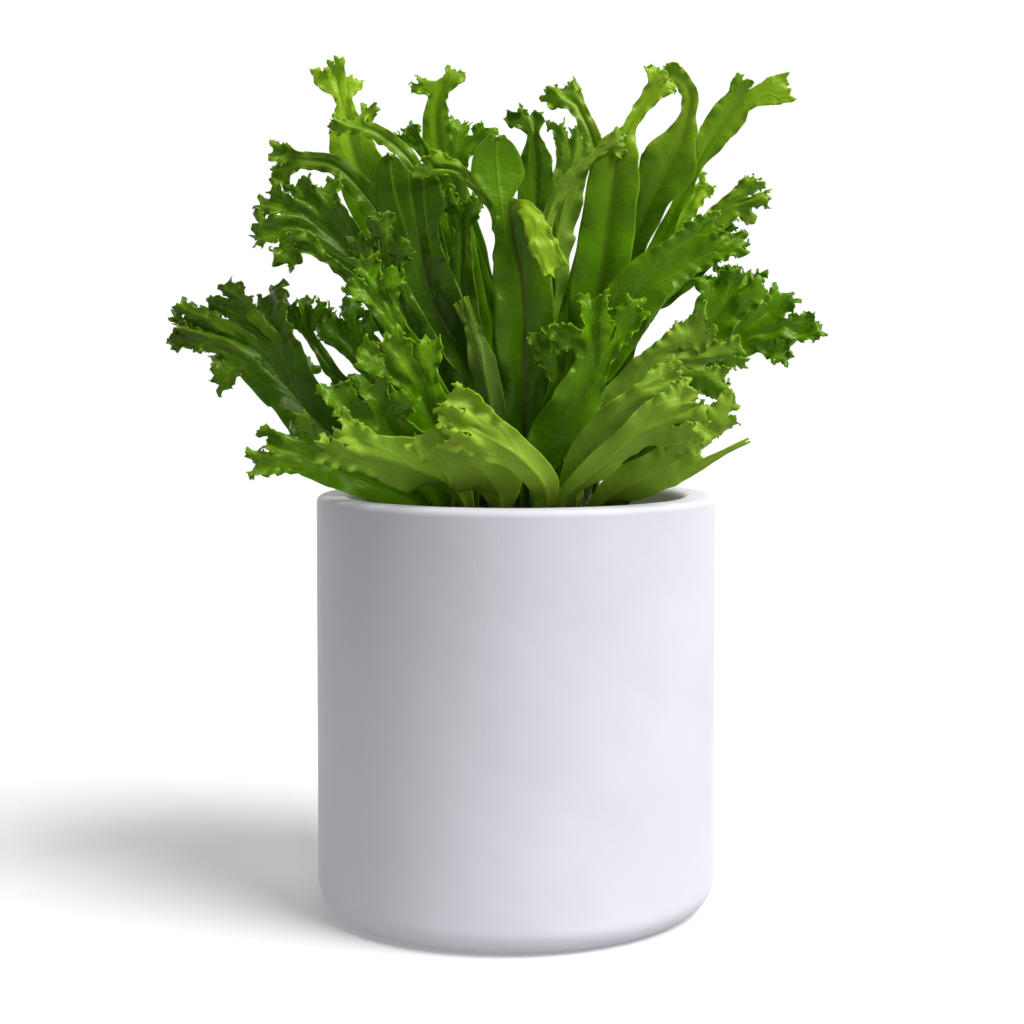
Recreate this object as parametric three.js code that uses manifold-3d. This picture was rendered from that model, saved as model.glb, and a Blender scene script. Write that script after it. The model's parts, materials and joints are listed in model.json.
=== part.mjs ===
// A crested bird's nest fern in a plain cylinder pot.
// Millimetres, +Z up, +X to the right and +Y to the back. The origin is the centre of the pot's underside.

import * as THREE from "three";
import { mergeVertices } from "three/addons/utils/BufferGeometryUtils.js";
import Module from "manifold-3d";

// Pot
const POT_RADIUS = 100;
const POT_HEIGHT = 205;
const WALL = 16;
const FLOOR = 14;
const FOOT_ROUND = 13;
const RIM_ROUND = 3.5;
const INNER_ROUND = 8;
const POT_SIDES = 40;

// Soil and crown
const GAP = 0.3;
const SOIL_BELOW_RIM = 15;
const SOIL_BUMP = 1.6;
const SOIL_SIDES = 20;
const SOIL_EDGE = 12;
const SOIL_EDGE_DROP = 3;
const SOIL_RISE = 1;
const CROWN_RADIUS = 54;
const CROWN_ABOVE_SOIL = 8;
const CROWN_DEPTH = 22;
const CROWN_CHAMFER = [2, 3];

// Rings of frond roots on the crown, from the middle out: radius, number of places, first azimuth
const RINGS = [
  { radius: 10, places: 7, first: 0 },
  { radius: 22, places: 12, first: 15 },
  { radius: 34, places: 20, first: 0 },
  { radius: 46, places: 20, first: 9 },
];

// Fronds: the root and its slot in the crown, the thickness at the edge and at the midrib
const ROOT_HALF = 3.5;
const ROOT_DEPTH = 5;
const STALK = 9;
const SLOT_CLEARANCE = 0.5;
const SLOT_ROOM = 1;
const BLADE = 0.8;
const RIB = 2.2;

// The strap: distance of its rows, angle of its fold at the root, size of its waves, where its neck begins
const ROW_STEP = 33;
const FOLD = 20;
const WAVE = 0.12;
const WAVE_TURNS = 15;
const NECK = 0.7;
const NECK_FROM = 0.76;

// The crest: rows of a lobe, of a spoon-shaped lobe and of a frill, where along a lobe its frills begin,
// and the widest gap between neighbours that a web joins
const LOBE_ROWS = 2;
const LOBE_SHARE = 0.68;
const LOBE_WIDEN = 1.35;
const SPOON_ROWS = 4;
const SPOON_SHARE = 0.88;
const FRILL_ROWS = 2;
const HANDLE = 0.36;
const CURL = 0.5;
const TWIST = 0.25;
const WARP = 0.12;
const CROWDING = 0.42;
const WEB_GAP = 5;
const LOBE_TAPER = 0.8;
const FRILL_SPREAD = 0.55;
const FRILL_HALF = 0.42;
const NOTCH = 0.5;

// The front view that the frond points are given in: distance and height of the eye
const SIGHT = 895;
const EYE = 274;

// Which way a frond's upper face looks at its end
const FRONT = [0, -1, 0.15];
const BACK = [0, 1, 0.15];

const SOIL_TOP = POT_HEIGHT - SOIL_BELOW_RIM;
const CROWN_TOP = SOIL_TOP + CROWN_ABOVE_SOIL;
const INNER_RADIUS = POT_RADIUS - WALL;

const wasm = await Module();
wasm.setup();

const vector = (x, y, z) => new THREE.Vector3(x, y, z);
const { lerp, smoothstep, degToRad } = THREE.MathUtils;

// A number from -1 to 1 that depends only on the seed and the index.
function draw(seed, index) {
  const wave = Math.sin(seed * 12.9898 + index * 78.233) * 43758.5453;
  return 2 * (wave - Math.floor(wave)) - 1;
}

// A point given as seen from the front: right of the axis, above the rim and behind the axis.
function seen([right, above, behind]) {
  const reach = 1 + behind / SIGHT;
  return vector(right * reach, behind, EYE + (POT_HEIGHT + above - EYE) * reach);
}

function rootPlace(ring, place) {
  const { radius, places, first } = RINGS[ring - 1];
  const azimuth = degToRad(first + (place * 360) / places);
  const out = vector(Math.cos(azimuth), Math.sin(azimuth), 0);
  return { point: out.clone().multiplyScalar(radius).setZ(CROWN_TOP - ROOT_DEPTH), out };
}

// The strip's own axes at a share of its length: along it, across it and out of its upper face.
function frameAt(strip, share) {
  const before = strip.at(Math.max(0, share - 0.01));
  const along = strip.at(Math.min(1, share + 0.01)).sub(before).normalize();
  const side = along.clone().cross(strip.face(share)).normalize();
  return { along, side, up: side.clone().cross(along) };
}

function onStrip(strip, share, across) {
  const { side, up } = frameAt(strip, share);
  const [aside, lift] = strip.section(share, across);
  return strip.at(share).addScaledVector(side, aside).addScaledVector(up, lift);
}

// The shares of a path's length at which its points lie.
function sharesOf(points) {
  const lengths = [0];
  points.slice(1).forEach((point, i) => lengths.push(lengths[i] + point.distanceTo(points[i])));
  return lengths.map((length) => length / lengths.at(-1));
}

// Shares at which a strap has its rows: at the end of its stalk, at each point and between those far apart.
function rowsOf(points, shares) {
  const stalk = (shares[1] * STALK) / points[1].distanceTo(points[0]);
  const rows = points.slice(1).flatMap((point, i) => {
    const count = Math.max(1, Math.round(point.distanceTo(points[i]) / ROW_STEP));
    return Array.from({ length: count }, (_, k) => lerp(shares[i], shares[i + 1], (k + 1) / count));
  });
  return [stalk, ...rows];
}

// The value at a share between those given at the shares listed.
function between(shares, values, share) {
  const i = Math.max(0, shares.findIndex((one) => one >= share) - 1);
  return lerp(values[i], values[i + 1], smoothstep(share, shares[i], shares[i + 1]));
}

// The strap: the long plain blade from the crown to where the crest begins.
function strapStrip(frond) {
  const { point, out } = rootPlace(...frond.root);
  const points = [point, ...frond.line.map(seen)];
  const shares = sharesOf(points);
  const scales = [1, ...frond.line.map((place) => place[3] ?? 1)];
  const path = new THREE.CatmullRomCurve3(points, false, "centripetal");
  const inward = out.clone().multiplyScalar(-0.7).add(vector(0, 0, 0.7));
  const last = frond.face ? vector(...frond.face) : inward;
  const first = last.dot(inward) < -0.2 ? last : inward;
  const fold = degToRad(FOLD);
  const half = frond.width / 2;
  const neck = frond.neck ?? NECK;
  return {
    end: 1,
    rows: rowsOf(points, shares),
    at: (share) => path.getPointAt(share),
    face: (share) => first.clone().lerp(last, smoothstep(share, 0, 0.8)),
    section: (share, across) => {
      const full = lerp(ROOT_HALF, half, smoothstep(share, 0.05, 0.6));
      const scale = between(shares, scales, share) * lerp(1, neck, smoothstep(share, NECK_FROM, 1));
      const wide = full * scale;
      const turn = share * WAVE_TURNS + frond.seed + (across > 0 ? 2 : 0);
      const ripple = WAVE * Math.sin(turn) * smoothstep(share, 0.15, 0.5) * across * across;
      const open = fold * (1 - 0.6 * share);
      return [across * wide * Math.cos(open), wide * (Math.abs(across) * Math.sin(open) + ripple)];
    },
  };
}

// A lobe or frill: it leaves its parent's end between two places across it and runs to a tip.
// Beside it run its neighbours, and it grows no wider than to the middle between itself and them.
function lobeStrip(parent, from, to, lobe) {
  const start = frameAt(parent, parent.end);
  const middle = (from + to) / 2;
  const root = onStrip(parent, parent.end, middle);
  const reach = lobe.tip.distanceTo(root);
  const aim = lobe.tip.clone().sub(root).normalize();
  const out = start.along.clone().lerp(aim, 0.5).normalize();
  const curl = aim.clone().addScaledVector(start.up, CURL * draw(lobe.seed, 1));
  curl.addScaledVector(start.side, TWIST * draw(lobe.seed, 2)).normalize();
  const path = new THREE.CubicBezierCurve3(
    root,
    root.clone().addScaledVector(out, reach * HANDLE),
    lobe.tip.clone().addScaledVector(curl, -reach * HANDLE),
    lobe.tip,
  );
  const tipFace = start.up.clone().addScaledVector(start.side, TWIST * draw(lobe.seed, 3));
  tipFace.addScaledVector(start.along, TWIST * draw(lobe.seed, 4));
  const edge = onStrip(parent, parent.end, to);
  const begin = Math.max(edge.distanceTo(root), 0.5);
  const strip = {
    beside: {},
    end: lobe.belly ? SPOON_SHARE : LOBE_SHARE,
    at: (share) => path.getPoint(share),
    face: (share) => start.up.clone().lerp(tipFace, share),
    half: (share, hand) => {
      const bulge = (lobe.belly ?? 0) * Math.sin(Math.PI * share) ** 2;
      const wide = lerp(begin, lobe.half, smoothstep(share, 0, LOBE_TAPER)) + bulge;
      const next = strip.beside[hand];
      return next ? Math.min(wide, CROWDING * next.at(share).distanceTo(strip.at(share))) : wide;
    },
    section: (share, across) => {
      const place = onStrip(parent, parent.end, middle + (across * (to - from)) / 2).sub(root);
      const wide = strip.half(share, Math.sign(across));
      const warp = WARP * wide * share * draw(lobe.seed, 5) * across;
      const grow = wide / begin;
      return [place.dot(start.side) * grow, place.dot(start.up) * grow + warp];
    },
  };
  return strip;
}

// Strips that leave a parent's end side by side, each knowing the ones beside it.
function stripsBeside(parent, parts) {
  const strips = parts.map(({ from, to, lobe }) => lobeStrip(parent, from, to, lobe));
  strips.forEach((strip, i) => {
    strip.beside[-1] = strips[i - 1];
    strip.beside[1] = strips[i + 1];
  });
  return strips;
}

// The two frills that a lobe ends in, one each side of its tip.
function frillsOf(strip, lobe) {
  const { along, side, up } = frameAt(strip, 1);
  const end = strip.at(1);
  return [-1, 1].map((hand) => {
    const seed = lobe.seed * 3 + hand;
    const half = strip.half(1, hand);
    const tip = end.clone().addScaledVector(side, hand * half * (FRILL_SPREAD + 0.1 * draw(seed, 6)));
    tip.addScaledVector(up, half * (0.2 * hand + 0.25 * draw(seed, 7)));
    tip.addScaledVector(along, half * (0.25 + 0.25 * draw(seed, 8)));
    return { from: Math.min(hand, 0), to: Math.max(hand, 0), lobe: { tip, half: half * FRILL_HALF, seed } };
  });
}

// A sheet under construction: points, where they lie across their row, and triangles between rows.
function stitch(sheet, lower, upper) {
  let i = 0;
  let j = 0;
  while (i < lower.length - 1 || j < upper.length - 1) {
    const lowerNext = i < lower.length - 1 ? lower[i + 1].across + lower[i].across : Infinity;
    const upperNext = j < upper.length - 1 ? upper[j + 1].across + upper[j].across : Infinity;
    const takeUpper = upperNext <= lowerNext;
    if (takeUpper) {
      sheet.triangles.push([lower[i].id, upper[j + 1].id, upper[j].id]);
      j += 1;
    } else {
      sheet.triangles.push([lower[i].id, lower[i + 1].id, upper[j].id]);
      i += 1;
    }
  }
}

// Adds a row of a strip. Where a web joins it to its neighbour, its first point is the neighbour's last one.
function addRow(sheet, strip, share, places, half, shared) {
  return places.map((across, i) => {
    const point = onStrip(strip, share, across);
    if (i === 0 && shared !== undefined && sheet.points[shared].distanceTo(point) < WEB_GAP) {
      sheet.points[shared].lerp(point, 0.5);
      return { id: shared, across };
    }
    sheet.points.push(point);
    sheet.halves.push(half(share, across));
    return { id: sheet.points.length - 1, across };
  });
}

// The part of a row between two places across it, measured anew from -1 to 1.
function rowPart(row, from, to) {
  const inside = row.filter((one) => one.across > from - 1e-6 && one.across < to + 1e-6);
  return inside.map((one) => ({ id: one.id, across: (2 * (one.across - from)) / (to - from) - 1 }));
}

// Grows the rows of a lobe or frill, each row at a share and with its places across.
// edge holds the last points of the neighbour's rows, and its own are returned with its last row.
function growRows(sheet, strip, row, levels, edge) {
  let lower = row;
  let joined = true;
  const own = levels.map(({ share, places }, step) => {
    const shared = joined ? edge[step] : undefined;
    const upper = addRow(sheet, strip, share, places, () => BLADE / 2, shared);
    joined = upper[0].id === shared;
    stitch(sheet, lower, upper);
    lower = upper;
    return upper.at(-1).id;
  });
  return { last: lower, own };
}

function growFrill(sheet, strip, row, frill, edge) {
  const levels = Array.from({ length: FRILL_ROWS }, (_, step) => ({
    share: (step + 1) / FRILL_ROWS,
    places: step + 1 < FRILL_ROWS ? [-1, 1] : [-1, 0, 1],
  }));
  const { last, own } = growRows(sheet, strip, row, levels, edge);
  const { along } = frameAt(strip, 1);
  last.forEach(({ id, across }) => {
    const tooth = across === 0 ? -NOTCH : 0.7 * NOTCH * draw(frill.seed, 10 + across);
    sheet.points[id].addScaledVector(along, tooth * frill.half);
  });
  return own.slice(0, -1);
}

function growLobe(sheet, strip, row, lobe, edge) {
  const rows = lobe.belly ? SPOON_ROWS : LOBE_ROWS;
  const levels = Array.from({ length: rows }, (_, step) => ({
    share: (strip.end * (step + 1)) / rows,
    places: [-1, 0, 1],
  }));
  const { last, own } = growRows(sheet, strip, row, levels, edge);
  growSideBySide(sheet, strip, last, frillsOf(strip, lobe), growFrill);
  return own;
}

// Grows lobes or frills from a row, from one edge to the other, each webbed to the one before it.
function growSideBySide(sheet, parent, row, parts, grow) {
  let edge = [];
  stripsBeside(parent, parts).forEach((strip, i) => {
    const { from, to, lobe } = parts[i];
    edge = grow(sheet, strip, rowPart(row, from, to), lobe, edge);
  });
}

// The middle surface of a whole frond: strap, lobes and frills in one sheet.
function frondSheet(frond) {
  const sheet = { points: [], halves: [], triangles: [] };
  const strap = strapStrip(frond);
  const half = (share, across) => lerp(lerp(RIB, BLADE, share ** 0.5), BLADE, Math.abs(across)) / 2;
  const count = frond.lobes.length;
  let lower = addRow(sheet, strap, 0, [-1, 0, 1], half);
  strap.rows.slice(0, -1).forEach((share) => {
    const upper = addRow(sheet, strap, share, [-1, 0, 1], half);
    stitch(sheet, lower, upper);
    lower = upper;
  });
  const places = Array.from({ length: 2 * count + 1 }, (_, i) => i / count - 1);
  const last = addRow(sheet, strap, 1, places, half);
  stitch(sheet, lower, last);
  const parts = frond.lobes.map(([right, above, behind, wide, belly], index) => {
    const from = (2 * index) / count - 1;
    const tip = seen([right, above, behind]);
    const lobe = { tip, half: wide * LOBE_WIDEN, belly, seed: frond.seed * 7 + index };
    return { from, to: from + 2 / count, lobe };
  });
  growSideBySide(sheet, strap, last, parts, growLobe);
  return sheet;
}

// Gives a sheet its thickness: both faces split alike, joined by a rim along every open edge.
function solidFromSheet({ points, halves, triangles }) {
  const normals = points.map(() => vector(0, 0, 0));
  const edges = new Map();
  triangles.forEach(([a, b, c]) => {
    const ab = points[b].clone().sub(points[a]);
    const face = ab.cross(points[c].clone().sub(points[a]));
    [a, b, c].forEach((id) => normals[id].add(face));
    [[a, b], [b, c], [c, a]].forEach(([p, q]) => edges.set(`${p},${q}`, [p, q]));
  });
  const count = points.length;
  const position = new Float32Array(count * 6);
  points.forEach((point, id) => {
    const thick = normals[id].normalize().multiplyScalar(halves[id]);
    point.clone().add(thick).toArray(position, id * 3);
    point.clone().sub(thick).toArray(position, (id + count) * 3);
  });
  const index = triangles.flatMap(([a, b, c]) => [a, b, c, c + count, b + count, a + count]);
  edges.forEach(([p, q]) => {
    if (edges.has(`${q},${p}`)) return;
    index.push(q, p, p + count, q, p + count, q + count);
  });
  const geometry = new THREE.BufferGeometry();
  geometry.setAttribute("position", new THREE.BufferAttribute(position, 3));
  geometry.setIndex(index);
  return geometry;
}

function manifoldOf(geometry) {
  const bare = geometry.clone();
  bare.deleteAttribute("normal");
  bare.deleteAttribute("uv");
  const merged = mergeVertices(bare, 1e-3);
  return new wasm.Manifold(
    new wasm.Mesh({
      numProp: 3,
      vertProperties: merged.attributes.position.array,
      triVerts: new Uint32Array(merged.index.array),
    }),
  );
}

function geometryOf(solid) {
  const mesh = solid.getMesh();
  const geometry = new THREE.BufferGeometry();
  geometry.setAttribute("position", new THREE.BufferAttribute(mesh.vertProperties, 3));
  geometry.setIndex(new THREE.BufferAttribute(mesh.triVerts, 1));
  return geometry;
}

// Points of a quarter circle round a centre, from one angle to another in degrees.
function arc(x, y, radius, from, to, steps) {
  return Array.from({ length: steps + 1 }, (_, i) => {
    const angle = degToRad(lerp(from, to, i / steps));
    return new THREE.Vector2(x + radius * Math.cos(angle), y + radius * Math.sin(angle));
  });
}

function turned(profile, sides) {
  return new THREE.LatheGeometry(profile, sides).rotateX(Math.PI / 2);
}

function potGeometry() {
  const rim = POT_HEIGHT - RIM_ROUND;
  return turned(
    [
      new THREE.Vector2(0, 0),
      ...arc(POT_RADIUS - FOOT_ROUND, FOOT_ROUND, FOOT_ROUND, -90, 0, 4),
      ...arc(POT_RADIUS - RIM_ROUND, rim, RIM_ROUND, 0, 90, 2),
      ...arc(INNER_RADIUS + RIM_ROUND, rim, RIM_ROUND, 90, 180, 2),
      ...arc(INNER_RADIUS - INNER_ROUND, FLOOR + INNER_ROUND, INNER_ROUND, 0, -90, 1),
      new THREE.Vector2(0, FLOOR),
    ],
    POT_SIDES,
  );
}

// Raises and lowers what lies at or above a level by a seeded draw for each point.
function roughen(geometry, level, size) {
  const place = geometry.attributes.position;
  for (let i = 0; i < place.count; i += 1) {
    const x = place.getX(i);
    const y = place.getY(i);
    const z = place.getZ(i);
    if (z < level) continue;
    const seed = Math.round(x) * 0.37 + Math.round(y) * 0.61;
    place.setZ(i, z + size * draw(seed, 1));
  }
  return geometry;
}

function soilGeometry() {
  const radius = INNER_RADIUS - GAP;
  const round = INNER_ROUND;
  const pit = CROWN_RADIUS + GAP;
  const soil = turned(
    [
      new THREE.Vector2(0, FLOOR + GAP),
      ...arc(radius - round, FLOOR + GAP + round, round, -90, 0, 1),
      new THREE.Vector2(radius, SOIL_TOP - SOIL_EDGE_DROP),
      new THREE.Vector2(radius - SOIL_EDGE, SOIL_TOP),
      new THREE.Vector2(radius - 2 * SOIL_EDGE, SOIL_TOP + SOIL_RISE / 2),
      new THREE.Vector2(pit, SOIL_TOP + SOIL_RISE),
      new THREE.Vector2(pit, SOIL_TOP - CROWN_DEPTH - GAP),
      new THREE.Vector2(0, SOIL_TOP - CROWN_DEPTH - GAP),
    ],
    SOIL_SIDES,
  );
  return roughen(soil, SOIL_TOP - SOIL_EDGE_DROP / 2, SOIL_BUMP);
}

// A plain slot in the crown that one frond's root stands in.
function slotGeometry(frond) {
  const strap = strapStrip(frond);
  const { side, up } = frameAt(strap, 0);
  const base = strap.at(0);
  const along = strap.at(strap.rows[0]).sub(base).normalize();
  const wide = 2 * (ROOT_HALF + SLOT_CLEARANCE) + SLOT_ROOM;
  const thick = RIB + 2 * SLOT_CLEARANCE + SLOT_ROOM;
  const slot = new THREE.BoxGeometry(wide, thick, 3 * ROOT_DEPTH);
  slot.translate(0, 0, 1.5 * ROOT_DEPTH - GAP);
  const place = new THREE.Matrix4().makeBasis(side, up.clone().negate(), along).setPosition(base);
  return slot.applyMatrix4(place);
}

function crownGeometry(fronds) {
  const [inset, drop] = CROWN_CHAMFER;
  const body = turned(
    [
      new THREE.Vector2(0, SOIL_TOP - CROWN_DEPTH),
      new THREE.Vector2(CROWN_RADIUS, SOIL_TOP - CROWN_DEPTH),
      new THREE.Vector2(CROWN_RADIUS, CROWN_TOP - drop),
      new THREE.Vector2(CROWN_RADIUS - inset, CROWN_TOP),
      new THREE.Vector2(0, CROWN_TOP),
    ],
    SOIL_SIDES,
  );
  const slots = fronds.map((frond) => manifoldOf(slotGeometry(frond)));
  const all = slots.reduce((sum, slot) => sum.add(slot));
  return geometryOf(manifoldOf(body).subtract(all));
}

// The fronds. root: ring on the crown and place in it. line: points that the strap passes, as seen.
// lobes: tips of the crest from one edge to the other, as seen, with the half width there.
const FRONDS = [
  // tall and upright, from the middle of the crown
  { root: [1, 0], width: 11, face: FRONT, neck: 0.8,
    line: [[20, 60, 8], [35, 120, 14], [42, 158, 16], [38, 178, 18], [31, 193, 20]],
    lobes: [[17, 201, 18, 4], [26, 204, 24, 4]] },
  { root: [2, 1], width: 20, face: BACK, neck: 0.9,
    line: [[14, 60, 24], [18, 115, 30], [23, 140, 34], [29, 167, 34]],
    lobes: [[37, 180, 36, 4], [30, 183, 34, 4], [21, 185, 32, 3]] },
  { root: [1, 2], width: 20, face: FRONT, neck: 1,
    line: [[-12, 60, 20], [-24, 120, 26], [-37, 165, 26], [-40, 186, 24, 0.7], [-39, 199, 24, 0.5]],
    lobes: [[-50, 206, 20, 3], [-29, 212, 26, 4]] },
  { root: [1, 3], width: 10, face: FRONT,
    line: [[-7, 60, 16], [-22, 120, 18], [-38, 158, 14], [-47, 173, 12]],
    lobes: [[-59, 178, 10, 3], [-54, 184, 14, 4]] },
  { root: [1, 4], width: 12, face: FRONT, neck: 1,
    line: [[-15, 60, 8], [-25, 120, 7], [-31, 158, 0], [-28, 171, -4]],
    lobes: [[-27, 187, -2, 4], [-15, 180, -8, 5]] },
  { root: [1, 5], width: 16, face: FRONT, neck: 0.6,
    line: [[-12, 45, -3], [-26, 90, -4], [-27, 132, -5]],
    lobes: [[-34, 150, -8, 4], [-22, 147, -8, 4]] },
  { root: [1, 6], width: 7, face: BACK,
    line: [[8, 60, -6], [12, 120, -8], [20, 148, -8], [35, 167, -10], [46, 174, -10]],
    lobes: [[54, 172, -8, 3], [53, 181, -10, 3]] },
  // the second ring
  { root: [2, 0], width: 30, face: FRONT, neck: 1,
    line: [[30, 60, 16, 0.8], [52, 110, 22, 0.6], [66, 143, 24, 0.6], [77, 166, 24], [84, 181, 24, 0.5],
      [86, 190, 24, 0.28], [87, 199, 24, 0.3], [83, 207, 24, 0.28]],
    lobes: [[76, 213, 20, 4]] },
  { root: [1, 1], width: 20, face: FRONT, neck: 1,
    line: [[8, 50, 12], [11, 110, 14], [10, 152, 12], [10, 166, 11, 0.85], [9, 180, 10, 0.35]],
    lobes: [[-2, 191, 8, 4], [9, 190, 13, 4]] },
  { root: [2, 2], width: 22,
    line: [[4, 60, 34], [6, 110, 46], [2, 138, 56]],
    lobes: [[-8, 152, 60, 5], [8, 150, 62, 5]] },
  { root: [2, 3], width: 22,
    line: [[-12, 60, 30], [-28, 110, 42], [-36, 138, 52]],
    lobes: [[-46, 156, 56, 5], [-34, 156, 58, 5]] },
  { root: [2, 4], width: 27, face: FRONT, neck: 1,
    line: [[-30, 60, 20, 0.8], [-54, 110, 30, 0.8], [-72, 150, 34, 1.1], [-82, 174, 34, 0.9],
      [-86, 197, 34, 0.35]],
    lobes: [[-97, 213, 30, 5], [-90, 216, 34, 4], [-81, 207, 38, 4]] },
  { root: [2, 5], width: 8, face: FRONT, neck: 1,
    line: [[-24, 60, 2], [-37, 115, 2], [-46, 152, 0], [-53, 167, -2], [-66, 179, -2], [-76, 184, -2]],
    lobes: [[-92, 186, -4, 3], [-73, 193, 2, 3]] },
  { root: [2, 6], width: 30, face: FRONT,
    line: [[-22, 55, -15], [-42, 98, -24], [-49, 128, -28]],
    lobes: [[-63, 170, -28, 2, 7], [-45, 162, -26, 2, 7]] },
  { root: [2, 7], width: 18, face: FRONT,
    line: [[-28, 40, -30], [-52, 82, -40], [-64, 110, -44]],
    lobes: [[-76, 128, -42, 5], [-68, 137, -46, 6], [-58, 124, -48, 5]] },
  { root: [2, 8], width: 9, face: FRONT,
    line: [[-8, 60, -22], [-6, 115, -24], [-10, 143, -28], [-27, 161, -30]],
    lobes: [[-50, 163, -34, 3], [-44, 169, -36, 3]] },
  { root: [2, 9], width: 30, face: FRONT, neck: 0.5,
    line: [[4, 40, -27], [4, 97, -34], [-3, 142, -36]],
    lobes: [[-9, 179, -36, 3, 10], [20, 112, -52, 5]] },
  { root: [2, 10], width: 14, face: FRONT,
    line: [[17, 30, -36], [22, 55, -44]],
    lobes: [[13, 80, -46, 5], [27, 71, -43, 4]] },
  { root: [2, 11], width: 26, face: FRONT, neck: 1,
    line: [[20, 30, -8], [35, 70, -8, 1.1], [43, 110, -6, 1.15], [48, 150, -4, 1.05], [51, 170, -3, 0.9],
      [57, 184, -2, 0.25], [63, 193, 0, 0.28], [69, 201, 1, 0.4]],
    lobes: [[73, 212, 0, 5], [77, 205, 4, 4]] },
  // the third ring
  { root: [3, 0], width: 18, face: FRONT,
    line: [[34, 48, 0], [62, 92, 2], [94, 131, 2], [108, 144, 0]],
    lobes: [[122, 156, 0, 4], [126, 148, -2, 4], [119, 140, 2, 4]] },
  { root: [3, 1], width: 17, face: FRONT, neck: 1,
    line: [[34, 50, 28, 0.9], [60, 100, 36, 0.7], [80, 142, 38, 0.5], [91, 165, 38, 0.4], [98, 178, 38, 0.95],
      [106, 189, 37, 1.1], [112, 197, 36, 0.9]],
    lobes: [[114, 208, 32, 4], [137, 204, 36, 6]] },
  { root: [3, 2], width: 15, face: FRONT,
    line: [[34, 40, 40], [55, 85, 48], [76, 125, 55], [87, 144, 54]],
    lobes: [[88, 156, 52, 4], [96, 157, 56, 4]] },
  { root: [3, 3], width: 24,
    line: [[24, 45, 42], [40, 90, 62], [48, 118, 74]],
    lobes: [[46, 142, 84, 6], [60, 138, 82, 6]] },
  { root: [3, 5], width: 26,
    line: [[5, 45, 48], [8, 90, 68], [8, 118, 86]],
    lobes: [[-2, 136, 96, 6], [20, 136, 96, 6]] },
  { root: [3, 6], width: 24,
    line: [[-14, 45, 46], [-30, 90, 62], [-40, 112, 74]],
    lobes: [[-52, 130, 80, 6], [-38, 132, 82, 6]] },
  { root: [3, 7], width: 24,
    line: [[-30, 40, 38], [-50, 80, 58], [-62, 104, 70]],
    lobes: [[-76, 120, 74, 6], [-62, 126, 80, 6]] },
  { root: [3, 8], width: 20, face: FRONT, neck: 1,
    line: [[-40, 30, 26], [-62, 56, 38], [-78, 74, 42]],
    lobes: [[-95, 89, 44, 7], [-84, 97, 46, 7], [-73, 92, 48, 6]] },
  { root: [3, 9], width: 13, face: FRONT,
    line: [[-40, 66, 8], [-60, 124, 8], [-78, 153, 6], [-92, 165, 4], [-108, 167, 0]],
    lobes: [[-121, 159, 2, 4], [-121, 171, -2, 4]] },
  { root: [3, 10], width: 30, face: FRONT, neck: 1,
    line: [[-44, 40, -4, 0.5], [-62, 84, -10, 0.5], [-76, 112, -14, 0.5], [-88, 126, -16, 0.8],
      [-99, 136, -16]],
    lobes: [[-117, 117, -22, 6], [-129, 131, -20, 8], [-125, 149, -14, 8], [-108, 157, -12, 8],
      [-95, 154, -12, 6]] },
  { root: [3, 11], width: 6, face: FRONT,
    line: [[-40, 35, -20], [-62, 80, -28], [-83, 108, -30], [-95, 118, -31]],
    lobes: [[-110, 128, -32, 4]] },
  { root: [3, 12], width: 14, face: FRONT,
    line: [[-32, 30, -38], [-54, 72, -50], [-64, 92, -52]],
    lobes: [[-83, 107, -54, 5], [-76, 118, -52, 5], [-62, 110, -56, 4]] },
  { root: [3, 13], width: 26, face: FRONT,
    line: [[-28, 15, -38], [-42, 38, -49], [-48, 54, -54]],
    lobes: [[-79, 71, -56, 6], [-64, 79, -60, 6], [-45, 76, -58, 5]] },
  { root: [3, 14], width: 14, face: BACK, neck: 0.5,
    line: [[-12, 40, -38], [-18, 70, -42], [-23, 86, -40]],
    lobes: [[-25, 99, -42, 1], [-29, 96, -40, 2]] },
  { root: [3, 16], width: 24, face: FRONT,
    line: [[14, 20, -41], [30, 45, -49], [39, 66, -50]],
    lobes: [[22, 84, -56, 5], [40, 100, -50, 6], [60, 92, -48, 6]] },
  { root: [3, 17], width: 16, face: BACK,
    line: [[30, 12, -47], [48, 36, -60], [64, 50, -64]],
    lobes: [[88, 50, -66, 5], [80, 62, -62, 5]] },
  { root: [3, 18], width: 20, face: BACK, neck: 1,
    line: [[38, 28, -34], [58, 52, -42], [73, 65, -44]],
    lobes: [[106, 56, -48, 7], [113, 70, -46, 8], [98, 84, -44, 8]] },
  { root: [3, 19], width: 28, face: FRONT, neck: 0.8,
    line: [[29, 40, -24], [47, 78, -30], [64, 104, -32], [84, 119, -30]],
    lobes: [[101, 134, -28, 6], [107, 126, -30, 6]] },
  // the low outer ring
  { root: [4, 0], width: 20, face: FRONT, neck: 1.3,
    line: [[60, 30, 6], [86, 57, 8], [104, 75, 6], [115, 82, 4]],
    lobes: [[106, 113, 14, 5], [119, 113, 10, 5], [137, 101, 6, 6], [151, 84, 2, 6], [137, 71, -2, 5]] },
  { root: [4, 1], width: 18, face: FRONT,
    line: [[44, 30, 14, 0.7], [52, 66, 16, 0.7], [64, 93, 18, 0.8], [84, 110, 16, 1.1], [98, 122, 14]],
    lobes: [[109, 136, 14, 5], [114, 129, 16, 4]] },
  { root: [4, 2], width: 24,
    line: [[48, 18, 42], [74, 38, 66], [86, 50, 80]],
    lobes: [[96, 68, 90, 6], [104, 56, 88, 6]] },
  { root: [4, 3], width: 24,
    line: [[26, 25, 57], [38, 60, 86], [46, 80, 102]],
    lobes: [[42, 98, 114, 6], [60, 92, 114, 6]] },
  { root: [4, 4], width: 26,
    line: [[2, 12, 62], [0, 30, 94], [-2, 42, 114]],
    lobes: [[-20, 50, 126, 6], [-2, 56, 130, 6], [16, 50, 128, 6]] },
  { root: [4, 5], width: 24,
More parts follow.
